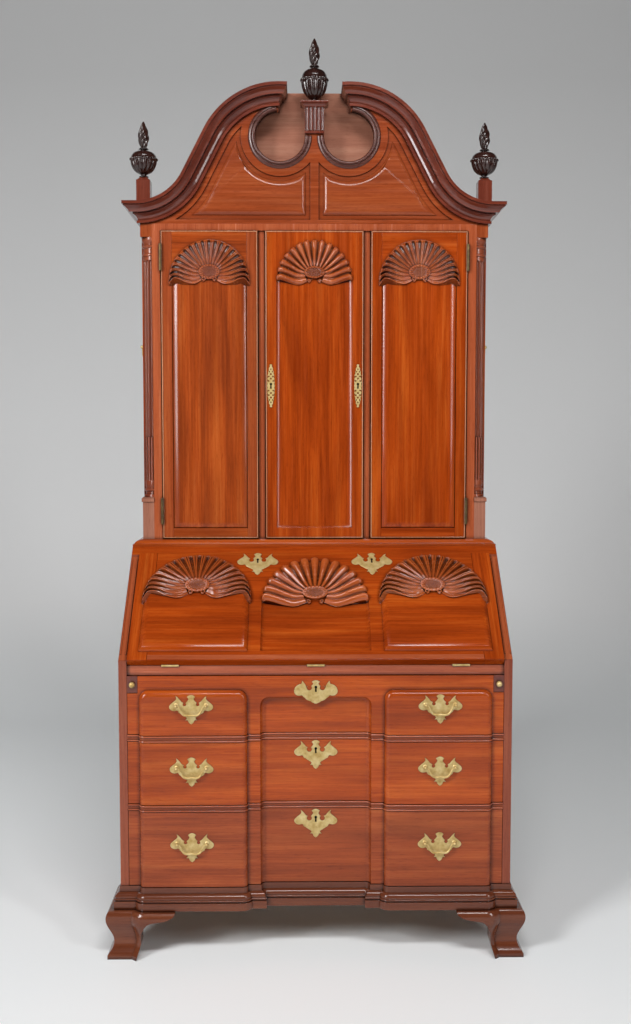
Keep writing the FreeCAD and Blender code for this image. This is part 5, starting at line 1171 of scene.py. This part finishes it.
# Field's margins from scroll, floor, middle bar and ring, and how they grow with the bevel's inset
SCROLL_GAP = 16.0
FLOOR_GAP = 12.0
RING_GAP = 40.0
FIELD_MARGIN = 13.0
INSET_SHARE = 0.8
SCROLL_SHARE = 1.3
RING_SECTION = ((-1.5, -18.0), (-1.5, 3.0), (-0.5, 5.0), (1.5, 6.6), (4.0, 7.2), (6.5, 6.6), (8.0, 5.0),
                (8.6, 3.6), (10.0, 4.6), (12.0, 4.4), (15.0, 3.4), (17.5, 2.0), (19.0, 0.4), (19.0, -2.0),
                (-1.5, -2.0))
RING_TURNS = (82.0, -180.0)
RING_STEPS = 120


def field_part(side):
    """Raised field on one half of the pediment."""
    loops = []
    for step, height in PEDIMENT_STEPS:
        more = FIELD_MARGIN + INSET_SHARE * step
        loop = pediment_field(SCROLL_GAP + SCROLL_SHARE * more, BOOK_TOP_Z + FLOOR_GAP + more,
                              FLOOR_GAP + more, RING_R + RING_GAP + more)
        loops.append([(side * x, z, height) for x, z in loop])
    return rings(loops, cap_start=True)


def ring_part(side):
    """Moulding round one of the two openings."""
    cx, cz = RING_MIDDLE
    outlines = []
    for k in range(RING_STEPS + 1):
        angle = math.radians(between(*RING_TURNS, k / RING_STEPS))
        across, up = math.cos(angle), math.sin(angle)
        outlines.append([(side * (cx + (RING_R + r) * across), cz + (RING_R + r) * up, n)
                         for r, n in RING_SECTION])
    return rings(outlines, cap_start=True)


def make_pediment():
    piece("pediment_fields", joined([field_part(-1), field_part(1)]), face_place(0, SUNK_FACE_Y, 0),
          PANEL_MAHOGANY["x"], "case", "mahogany", "tympanum_panels")
    piece("ring_mouldings", joined([ring_part(-1), ring_part(1)]), face_place(0, BOOK_FRONT_Y, 0),
          STAINED_MAHOGANY["x"], "case", "dark_mahogany", "scroll_rings")


make_pediment()


# Finials on their plinths; rows are (share of the radius, share of the height)

URN_R = 38.0
URN_ROWS = [(0.36, 0), (0.36, 0.02), (0.21, 0.05), (0.22, 0.08), (0.34, 0.11), (0.58, 0.17), (0.82, 0.29),
            (0.96, 0.44), (1.0, 0.54), (1.02, 0.57), (1.08, 0.60), (1.07, 0.63), (0.97, 0.66), (0.92, 0.74),
            (0.76, 0.83), (0.48, 0.885), (0.26, 0.91), (0.21, 0.935), (0.34, 0.955), (0.37, 0.975),
            (0.30, 1.0)]
URN_STEPS, URN_SIDES = 90, 196
GADROONS = 14
GADROON_CUT = 0.10
TOOTH_CUT = 0.07
FLAME_ROWS = [(0.42, 0), (0.72, 0.12), (0.98, 0.30), (1.0, 0.48), (0.82, 0.66), (0.48, 0.84), (0.10, 1.0)]
FLAME_STEPS, FLAME_SIDES = 60, 120
FLAME_R, FLAME_H = 16.0, 75.9
FLAME_LOBES = 5
FLAME_CORE = 0.66
FLAME_TURN = math.radians(215)
# Where each urn stands: x, y, its foot and its height
CENTRE_FINIAL = (0.0, BOOK_FRONT_Y + 16.0, BOOK_TOP_Z + 345.0, 106.0)
SIDE_FINIAL = (493.0, BOOK_FRONT_Y + 20.0, BOOK_TOP_Z + 135.0, 82.0)


def moved(part, x, y):
    """A part moved by x and y."""
    points, faces = part
    return [(x + px, y + py, pz) for px, py, pz in points], faces


def urn_part(x, y, z, height):
    """Urn with gadroons under a toothed band."""
    def carved_ring(radius, angle, level):
        share = (level - z) / height
        lobes = smoothstep(0.12, 0.2, share) * (1 - smoothstep(0.52, 0.56, share))
        teeth = smoothstep(0.56, 0.59, share) * (1 - smoothstep(0.63, 0.66, share))
        hollow = GADROON_CUT * lobes * (1 - abs(math.cos(GADROONS / 2 * angle)))
        return radius * (1 - hollow - TOOTH_CUT * teeth * (0.5 - 0.5 * math.cos(2 * GADROONS * angle)))

    rows = [through(URN_ROWS, k / URN_STEPS) for k in range(URN_STEPS + 1)]
    return moved(turning([(URN_R * r, z + height * h) for r, h in rows], URN_SIDES, carved_ring), x, y)


def flame_part(x, y, z):
    """Flame of twisted lobes."""
    def twisted(radius, angle, level):
        turn = FLAME_TURN * (level - z) / FLAME_H
        lobe = abs(math.cos(FLAME_LOBES / 2 * (angle - turn))) ** 0.8
        return radius * (FLAME_CORE + (1 - FLAME_CORE) * lobe)

    rows = [through(FLAME_ROWS, k / FLAME_STEPS) for k in range(FLAME_STEPS + 1)]
    return moved(turning([(FLAME_R * r, z + FLAME_H * h) for r, h in rows], FLAME_SIDES, twisted), x, y)


PLINTH_HALVES = (28.0, 22.0)
PLINTH_CAP = 14.0
PLINTH_H = 76.0
PLINTH_FLUTES = 5
PLINTH_FLUTE_SHARE = 0.80
PLINTH_STEPS = 100


def fluted_plinth():
    """Middle plinth: five flutes on its face, stopped above its foot, under a flared cap."""
    half_w, half_d = PLINTH_HALVES
    _, y, top, _ = CENTRE_FINIAL
    cap = top - PLINTH_CAP
    low = cap - PLINTH_H

    def outline(spread, depth, z):
        face = []
        for k in range(PLINTH_STEPS + 1):
            share = k / PLINTH_STEPS
            d = abs(share * PLINTH_FLUTES % 1 - 0.5) * 2 / PLINTH_FLUTE_SHARE
            cut = depth * math.sqrt(1 - d * d) if d < 1 else 0.0
            face.append((half_w * spread * (2 * share - 1), y - half_d * spread + cut, z))
        return face + [(half_w * spread, y + half_d * spread, z), (-half_w * spread, y + half_d * spread, z)]

    rows = [(1, 0, low), (1, 0, low + 7), (1, 2.4, low + 8), (1, 3.8, low + 10), (1, 3.8, cap - 3),
            (1, 2.0, cap - 1.5), (1, 0, cap - 1), (1, 0, cap), (1.04, 0, cap + 2), (1.14, 0, cap + 4.5),
            (1.30, 0, cap + 8), (1.40, 0, cap + 9), (1.43, 0, cap + 9.5), (1.43, 0, cap + 13.5),
            (1.42, 0, cap + 14)]
    return rings([outline(*row) for row in rows], cap_start=True)


SIDE_PLINTH_HALF = 20
SIDE_PLINTH_ROWS = ((0.8, -78), (0, -77), (0, -11), (0.8, -10), (4.5, -7.5), (8.0, -3.5), (11.0, 0))


def make_finials():
    x, y, z, height = CENTRE_FINIAL
    turned = [urn_part(x, y, z, height), flame_part(x, y, z + height)]
    blocks = [fluted_plinth()]
    x, y, z, height = SIDE_FINIAL
    half = SIDE_PLINTH_HALF
    taper = [(inwards, z + rise) for inwards, rise in SIDE_PLINTH_ROWS]
    for middle in (-x, x):
        turned += [urn_part(middle, y, z, height), flame_part(middle, y, z + height)]
        blocks.append(rings(rectangle_rings(middle - half, middle + half, y - half, y + half, taper),
                            cap_start=True))
    piece("carved_finials", joined(turned), AS_DRAWN, EBONISED["z"], "case", "dark_mahogany", "finials",
          sharp=60)
    piece("finial_blocks", joined(blocks), AS_DRAWN, DARK_MAHOGANY["z"], "case", "mahogany", "finial_plinths")


make_finials()


# Brasses; plate outlines are shares of the half width and half height

PLATE_T = 1.6
PLATE_BEVEL = 0.6
PLATE_W = 118.0
PLATE_H = 80.0
PULL_HALF = 40.0
PULL_BITE = 4.8
LOCK_BITE = 7.0
PIVOT_RISE = 12.0
PIVOT_OUT = 12.6
CROWN = ((0.0, 1.0), (0.06, 0.99), (0.116, 0.95), (0.19, 0.87), (0.15, 0.80), (0.116, 0.71), (0.15, 0.62),
         (0.20, 0.53))
WING = ((0.455, 0.555), (0.53, 0.70), (0.60, 0.82), (0.70, 0.94), (0.675, 0.81), (0.67, 0.72), (0.74, 0.60),
        (0.82, 0.51), (0.90, 0.41), (0.97, 0.31), (1.0, 0.20), (0.985, 0.10), (0.94, 0.01), (0.87, -0.06),
        (0.78, -0.09), (0.70, -0.07), (0.64, -0.04), (0.585, -0.09), (0.565, -0.19), (0.50, -0.25),
        (0.455, -0.28), (0.40, -0.35), (0.355, -0.37), (0.31, -0.44), (0.255, -0.47), (0.19, -0.55),
        (0.215, -0.63), (0.265, -0.72), (0.19, -0.70), (0.134, -0.74), (0.125, -0.83), (0.075, -0.92),
        (0.0, -1.0))
LOW_WING = ((0.44, 0.36), (0.47, 0.59), (0.54, 0.78), (0.63, 0.96), (0.64, 0.80), (0.67, 0.68), (0.76, 0.66),
            (0.86, 0.56), (0.95, 0.39), (1.0, 0.12), (0.98, -0.08), (0.92, -0.22), (0.84, -0.30),
            (0.74, -0.32), (0.66, -0.27), (0.61, -0.30), (0.56, -0.43), (0.50, -0.50), (0.44, -0.62),
            (0.37, -0.70), (0.28, -0.76), (0.22, -0.80), (0.18, -0.88), (0.10, -0.93), (0.05, -0.98),
            (0.0, -1.0))
BITE_MIDDLE = (0.30, 0.36)
KEYHOLE_R = 3.7
KEYHOLE_HALF = 2.4
KEYHOLE_DROP = 13.0
KEYHOLE_RISE = 0.42
POST_ROWS = [(6.4, PLATE_T - 0.4), (6.4, 2.6), (5.2, 3.6), (3.2, 4.2), (3.0, 8.0), (4.4, 9.6), (5.0, 12.0),
             (4.7, 14.4), (3.2, 16.6), (1.0, 17.5)]


def on_ring(x, y, radius, degrees):
    """Points on a circle at angles in degrees."""
    return [(x + radius * math.cos(math.radians(a)), y + radius * math.sin(math.radians(a))) for a in degrees]


def batwing(width, height, bite, wing=WING):
    """Batwing outline: crown, a round bite either side, pointed ears, wings and a ruffled lower edge."""
    w, h = width / 2, height / 2
    hole = on_ring(BITE_MIDDLE[0] * w, BITE_MIDDLE[1] * h, bite, range(125, 416, 29))
    half = [(w * x, h * y) for x, y in CROWN] + hole + [(w * x, h * y) for x, y in wing]
    left = [(-x, y) for x, y in reversed(half[1:-1])]
    return list(reversed(half + left))


def keyhole(z):
    """Keyhole outline with its round at a height."""
    foot = z - KEYHOLE_DROP
    return on_ring(0, z, KEYHOLE_R, range(-60, 241, 30)) + [(-KEYHOLE_HALF, foot), (KEYHOLE_HALF, foot)]


def post_part(x, y):
    """Turned post that holds one end of a bail."""
    return moved(turning(POST_ROWS, 28), x, y)


def nail_tree():
    """Geometry Nodes: a domed nail head on every point."""
    tree = bpy.data.node_groups.new("nails", "GeometryNodeTree")
    tree.interface.new_socket("Points", in_out="INPUT", socket_type="NodeSocketGeometry")
    tree.interface.new_socket("Radius", in_out="INPUT", socket_type="NodeSocketFloat")
    tree.interface.new_socket("Metal", in_out="INPUT", socket_type="NodeSocketMaterial")
    tree.interface.new_socket("Nails", in_out="OUTPUT", socket_type="NodeSocketGeometry")
    given = add(tree, "NodeGroupInput")
    head = add(tree, "GeometryNodeMeshIcoSphere", {"Radius": given.outputs["Radius"], "Subdivisions": 3})
    spread = add(tree, "GeometryNodeInstanceOnPoints", {"Points": given.outputs["Points"],
                                                        "Instance": head.outputs["Mesh"]})
    real = add(tree, "GeometryNodeRealizeInstances", {"Geometry": spread.outputs["Instances"]})
    metal = add(tree, "GeometryNodeSetMaterial", {"Geometry": real.outputs["Geometry"],
                                                  "Material": given.outputs["Metal"]})
    add(tree, "NodeGroupOutput", {"Nails": metal.outputs["Geometry"]})
    return tree


NAILS = nail_tree()


def nails(points, radius):
    """Nail heads at points, as a part to join to a plate."""
    mesh = bpy.data.meshes.new("nail_points")
    mesh.from_pydata(points, [], [])
    holder = bpy.data.objects.new("nail_points", mesh)
    bpy.context.collection.objects.link(holder)
    modifier = holder.modifiers.new("nails", "NODES")
    modifier.node_group = NAILS
    sockets = {item.name: item.identifier for item in NAILS.interface.items_tree if item.in_out == "INPUT"}
    modifier[sockets["Radius"]] = radius
    modifier[sockets["Metal"]] = BRASS
    graph = bpy.context.evaluated_depsgraph_get()
    baked = bpy.data.meshes.new_from_object(holder.evaluated_get(graph))
    bpy.data.objects.remove(holder)
    part = [tuple(v.co) for v in baked.vertices], [tuple(p.vertices) for p in baked.polygons]
    bpy.data.meshes.remove(baked)
    return part


NAIL_R = 1.5
NAIL_X = 46
# Nails of a keyhole plate: across in millimetres, up as a share of the half height
NAIL_PLACES = ((0, 0.82), (0, -0.72), (-NAIL_X, 0.12), (NAIL_X, 0.12))


def pull_parts(x, y):
    """Pull plate and its two posts."""
    outline = [(x + px, y + py) for px, py in batwing(PLATE_W, PLATE_H, PULL_BITE)]
    parts = plate_parts(outline, [], 0.0, PLATE_T, PLATE_BEVEL)
    return parts + [post_part(x + side * PULL_HALF, y + PIVOT_RISE) for side in (-1, 1)]


def escutcheon_parts(x, y, height, wing=WING):
    """Keyhole plate with its four nails."""
    half = height / 2
    outline, hole = [[(x + px, y + py) for px, py in loop]
                     for loop in (batwing(PLATE_W, height, LOCK_BITE, wing), keyhole(KEYHOLE_RISE * half))]
    pins = [(x + px, y + share * half, PLATE_T) for px, share in NAIL_PLACES]
    return plate_parts(outline, [hole], 0.0, PLATE_T, PLATE_BEVEL) + [nails(pins, NAIL_R)]


BAIL_HALF = [(42, 12.0), (37, 12.0), (32.5, 9.5), (29, 2.5), (25, -6.0), (18.5, -12.0), (9, -13.6),
             (0, -12.6)]
BAIL_STEPS = 90
BAIL_R = 1.7
BAIL_SWELL = 1.2


def bail_part():
    """Bail as it hangs from its posts: arms sweep down and in to a grip with a slight rise."""
    line = BAIL_HALF + [(-x, y) for x, y in reversed(BAIL_HALF[:-1])]
    shares = [k / BAIL_STEPS for k in range(BAIL_STEPS + 1)]
    path = [through(line, share) for share in shares]
    radii = [BAIL_R + BAIL_SWELL * math.sin(math.pi * share) ** 1.5 for share in shares]
    return tube([(p.x, p.y, PIVOT_OUT) for p in path], radii, 14)


PULL_X = 334.0
# Drawers: height of the pulls, height and plane of the keyhole plate, and that plate's height
DRAWERS = {"bottom_drawer": (302.24, 356.32, RECESS_Y, PLATE_H),
           "middle_drawer": (510.02, 547.0, RECESS_Y, PLATE_H),
           "top_drawer": (680.0, 723.2, CASE_FRONT_Y, 64.0)}
LOCK_PLANE_Y = CASE_FRONT_Y + 36.0
LOCK_W, LOCK_T = 62.0, 9.0
LOCK_DOWN, LOCK_UP = 26.4, 17.6
KEYWAY_HALF = 4.4
KEYWAY = (-1.0, 0.4, 0.1)


def keyway_part(x, z):
    """Near-black iron put behind a keyhole whose round is at (x, z), as painted shade in the hole."""
    return box_part(x - KEYWAY_HALF, x + KEYWAY_HALF, z - KEYHOLE_DROP - 0.6, z + KEYWAY_HALF, *KEYWAY)


def lock_part(x, z, back):
    """Lock case behind a board."""
    return box_part(x - LOCK_W / 2, x + LOCK_W / 2, z - LOCK_DOWN, z + LOCK_UP, -back - LOCK_T, -back)


def make_drawer_brasses(name, pull_z, lock_z, lock_y, height):
    plates = pull_parts(-PULL_X, 0) + pull_parts(PULL_X, 0)
    piece(name + "_pulls", joined(plates), face_place(0, BLOCK_FRONT_Y, pull_z), BRASS, name, "brass",
          name + "_brasses")
    wing = LOW_WING if name == "top_drawer" else WING
    place = face_place(0, lock_y, lock_z)
    piece(name + "_escutcheon", joined(escutcheon_parts(0, 0, height, wing)), place, BRASS, name, "brass")
    lock = [keyway_part(0, KEYHOLE_RISE * height / 2), lock_part(0, 0, LOCK_PLANE_Y - lock_y)]
    piece(name + "_lock", joined(lock), place, IRON_IN_SHADE, name, "brass")
    for side, word in ((-1, "left"), (1, "right")):
        body = f"{name}_{word}_bail"
        piece(body + "_rod", joined([bail_part()]), face_place(side * PULL_X, BLOCK_FRONT_Y, pull_z), BRASS,
              body, "brass", body)


TALL_HALVES = (10.4, 62.0)
TALL_STEPS = 64
TALL_BEVEL = 0.45
TALL_KEYHOLE = 5.0
PIERCINGS = ((6.6, 14.0, 2.2), (-6.6, 14.0, 2.2), (0.0, 21.0, 2.4), (6.0, 27.0, 2.3), (-6.0, 27.0, 2.3),
             (0.0, 34.0, 2.6), (4.6, 41.0, 1.9), (-4.6, 41.0, 1.9), (0.0, 48.0, 1.9))


def tall_plate(x, z):
    """Tall pierced keyhole plate with a scalloped edge."""
    half_w, half_h = TALL_HALVES
    edge = []
    for k in range(TALL_STEPS + 1):
        level = half_h * math.cos(math.pi * k / TALL_STEPS)
        width = half_w * (1 - 0.80 * (abs(level) / half_h) ** 2.4) + 0.9 * math.cos(level * 0.62)
        edge.append((x + (max(width, 0.6) if 0 < k < TALL_STEPS else 0.0), z + level))
    left = [(2 * x - px, pz) for px, pz in reversed(edge[1:-1])]
    holes = [[(x + px, z + pz) for px, pz in keyhole(TALL_KEYHOLE)]]
    turns = [math.pi * a / 5 for a in range(10)]
    for px, pz, r in PIERCINGS:
        for flip in (-1, 1):
            holes.append([(x + px + r * math.cos(a), z + flip * pz + 1.2 * r * math.sin(a)) for a in turns])
    return plate_parts(list(reversed(edge + left)), holes, 0.0, PLATE_T, TALL_BEVEL)


DOOR_PLATE_X = 126.7
DOOR_PLATE_Z = (DOOR_LOW + DOOR_HIGH) / 2
LID_PLATE = (164.0, 330.0)
LID_HINGE_XS = (-392.2, 0.0, 392.2)
HINGE_HALF = 23.5
LEAF = (2.0, 20.0, -0.3, 0.8, 0.15)
LEAF_NAILS = ((-16, 0, 16), 12.0, -0.3)
LEAF_NAIL_R = 1.4
LID_KNUCKLE = 7.5
KNUCKLE_GAP = 0.3
KNUCKLE_R = 3.4
BAR_R = 3.55
SIDE_HANDLE = (BOOK_HALF, CASE_FRONT_Y + 463.0, DESK_TOP_Z + 575.0)


def side_place(side):
    """Matrix from (across, along, out) in millimetres to the bookcase's left or right side."""
    x, y, z = SIDE_HANDLE
    turn = Matrix(((0, side, 0), (0, 0, 1), (side, 0, 0))).transposed().to_4x4()
    return Matrix.Translation(Vector((side * x, y, z)) * MM) @ turn @ Matrix.Scale(MM, 4)


def level_rod(start, end, radius):
    """Rod along the hinge's axis."""
    return tube([(x, 0, 0) for x in (start, (start + end) / 2, end)], [radius] * 3, 20)


def make_lid_brasses():
    x, s = LID_PLATE
    plates = escutcheon_parts(-x, s, PLATE_H) + escutcheon_parts(x, s, PLATE_H)
    piece("lid_escutcheons", joined(plates), LID_FACE, BRASS, "lid", "brass", "lid_brasses")
    keyways = [keyway_part(across, s + KEYHOLE_RISE * PLATE_H / 2) for across in (-x, x)]
    piece("lid_locks", joined(keyways), LID_FACE, IRON_IN_SHADE, "lid", "brass")
    leaves, bars = [], []
    nail_xs, nail_s, nail_n = LEAF_NAILS
    clear = LID_KNUCKLE + KNUCKLE_GAP
    for middle in LID_HINGE_XS:
        leaves.append(box_part(middle - HINGE_HALF, middle + HINGE_HALF, *LEAF))
        leaves.append(level_rod(middle - LID_KNUCKLE, middle + LID_KNUCKLE, KNUCKLE_R))
        leaves.append(nails([(middle + across, nail_s, nail_n) for across in nail_xs], LEAF_NAIL_R))
        bars.append(level_rod(middle - HINGE_HALF, middle - clear, BAR_R))
        bars.append(level_rod(middle + clear, middle + HINGE_HALF, BAR_R))
    piece("lid_hinge_leaves", joined(leaves), LID_PLACE, BRASS, "lid", "brass")
    piece("lid_hinge_bars", joined(bars), LID_PLACE, BRASS, "case", "brass")


def make_bookcase_brasses():
    plates = tall_plate(-DOOR_PLATE_X, DOOR_PLATE_Z) + tall_plate(DOOR_PLATE_X, DOOR_PLATE_Z)
    piece("centre_door_plates", joined(plates), DOOR_PLACE, BRASS, "centre_door", "brass",
          "centre_door_brasses")
    lock = [keyway_part(x, DOOR_PLATE_Z + TALL_KEYHOLE) for x in (-DOOR_PLATE_X, DOOR_PLATE_X)]
    lock.append(lock_part(-CENTRE_DOOR_HALF + DOOR_STILE, DOOR_PLATE_Z, DOOR_T))
    piece("centre_door_lock", joined(lock), DOOR_PLACE, IRON_IN_SHADE, "centre_door", "brass")
    side_nodes = ("side_handle_plates",)
    for side, word in ((-1, "left"), (1, "right")):
        piece(word + "_side_plate", joined(pull_parts(0, 0)), side_place(side), BRASS, "case", "brass",
              *side_nodes)
        side_nodes = ()
        body = word + "_side_bail"
        piece(body + "_rod", joined([bail_part()]), side_place(side), BRASS, body, "brass", body)


for drawer, fittings in DRAWERS.items():
    make_drawer_brasses(drawer, *fittings)
make_lid_brasses()
make_bookcase_brasses()


# Stage: a pale floor that sweeps up into a grey backdrop, in metres

SWEEP_HALF = 8.0
SWEEP_FRONT_Y = -6.0
SWEEP_BEND_Y = 2.2
SWEEP_R = 1.6
SWEEP_STEPS = 12
SWEEP_TOP = 6.0
# Paper's tones by height: pale on the floor, darkened upwards as painted shade
SWEEP_SHADE_TONES = ((0.0, "#f8fbfc"), (0.12, "#fbfbfb"), (0.45, "#ebebeb"), (1.0, "#cfcfcf"))
SWEEP_SHADE_TOP = 3.6


def sweep_paper():
    """Matt paper, paler below than above, its upper part darkened as painted shade, so that the finials stand
    before grey and the feet before white; from behind the camera sees through it."""
    material, tree, shader = new_material("pale_paper_sweep")
    coords = add(tree, "ShaderNodeTexCoord").outputs["Object"]
    height = add(tree, "ShaderNodeSeparateXYZ", {0: coords}).outputs["Z"]
    tone = ramp(tree, remap(tree, height, 0.0, SWEEP_SHADE_TOP, 0.0, 1.0), SWEEP_SHADE_TONES)
    tree.links.new(tone, shader.inputs["Base Color"])
    shader.inputs["Roughness"].default_value = 0.9
    seen = add(tree, "ShaderNodeMath", {0: add(tree, "ShaderNodeNewGeometry").outputs["Backfacing"],
                                        1: add(tree, "ShaderNodeLightPath").outputs["Is Camera Ray"]},
               operation="MULTIPLY").outputs[0]
    clear = add(tree, "ShaderNodeBsdfTransparent").outputs["BSDF"]
    one_sided = add(tree, "ShaderNodeMixShader", {0: seen, 1: shader.outputs["BSDF"], 2: clear}).outputs[0]
    tree.links.new(one_sided, tree.nodes["Material Output"].inputs["Surface"])
    return material


def make_stage():
    rows = [(SWEEP_FRONT_Y, 0.0), (SWEEP_BEND_Y, 0.0)]
    for k in range(1, SWEEP_STEPS + 1):
        angle = math.pi / 2 * k / SWEEP_STEPS
        rows.append((SWEEP_BEND_Y + SWEEP_R * math.sin(angle), SWEEP_R * (1 - math.cos(angle))))
    rows.append((SWEEP_BEND_Y + SWEEP_R, SWEEP_TOP))
    build = bmesh.new()
    left = [build.verts.new((-SWEEP_HALF, y, z)) for y, z in rows]
    right = [build.verts.new((SWEEP_HALF, y, z)) for y, z in rows]
    for corners in zip(left, right, right[1:], left[1:]):
        build.faces.new(corners)
    mesh = bpy.data.meshes.new("sweep")
    build.to_mesh(mesh)
    build.free()
    mesh.shade_smooth()
    mesh.materials.append(sweep_paper())
    sweep = bpy.data.objects.new("sweep", mesh)
    bpy.context.collection.objects.link(sweep)


# Lamps: place, what they point at, size and power; the strips only show in the polish
LAMPS = {"key": ((-3.3, -3.7, 3.4), (0, 0, 1.4), (1.2, 1.5), 158),
         "fill": ((3.3, -3.8, 3.4), (0, 0, 1.4), (0.5, 1.5), 50),
         "left_strip": ((-3.3, -3.7, 1.9), (0, 0, 1.5), (1.1, 1.9), 95),
         "right_strip": ((3.3, -3.8, 1.9), (0, 0, 1.5), (0.6, 1.9), 42),
         "above": ((0.3, -3.2, 4.3), (0, 0, 1.3), (2.2, 0.6), 112)}
STRIPS = ("left_strip", "right_strip")
# Strength of the world as light, in reflections, and where the camera sees it
WORLD_LEVEL = 0.06
MIRROR_LEVEL = 0.03
BEYOND_LEVEL = 0.5


def area_light(name, place, target, size, power):
    """Lamp that faces a target."""
    data = bpy.data.lights.new(name, "AREA")
    data.shape = "RECTANGLE"
    data.size, data.size_y = size
    data.energy = power
    lamp = bpy.data.objects.new(name, data)
    lamp.location = place
    lamp.rotation_euler = (Vector(target) - Vector(place)).to_track_quat("-Z", "Y").to_euler()
    lamp.visible_diffuse = name not in STRIPS
    bpy.context.collection.objects.link(lamp)


def make_light():
    world = bpy.data.worlds.new("studio")
    world.use_nodes = True
    tree = world.node_tree
    path = add(tree, "ShaderNodeLightPath")
    shown = remap(tree, path.outputs["Is Camera Ray"], 0.0, 1.0, WORLD_LEVEL, BEYOND_LEVEL)
    level = remap(tree, path.outputs["Is Glossy Ray"], 0.0, 1.0, shown, MIRROR_LEVEL)
    background = tree.nodes["Background"]
    background.inputs["Color"].default_value = (1, 1, 1, 1)
    tree.links.new(level, background.inputs["Strength"])
    bpy.context.scene.world = world
    for name, settings in LAMPS.items():
        area_light(name, *settings)


def make_camera():
    data = bpy.data.cameras.new("photo_view")
    data.sensor_fit = "AUTO"
    data.sensor_width = SENSOR_MM
    data.lens = CAMERA_FOCAL_PX * SENSOR_MM / IMAGE_LONG_PX
    camera = bpy.data.objects.new("photo_view", data)
    camera.location = (CAMERA_X, CASE_FRONT_Y * MM - CAMERA_FROM_CASE, CAMERA_HEIGHT)
    camera.rotation_euler = (math.pi / 2 - CAMERA_PITCH, 0, -CAMERA_YAW)
    bpy.context.collection.objects.link(camera)
    bpy.context.scene.camera = camera


make_stage()
make_light()
make_camera()
bpy.context.scene.view_settings.view_transform = "Standard"
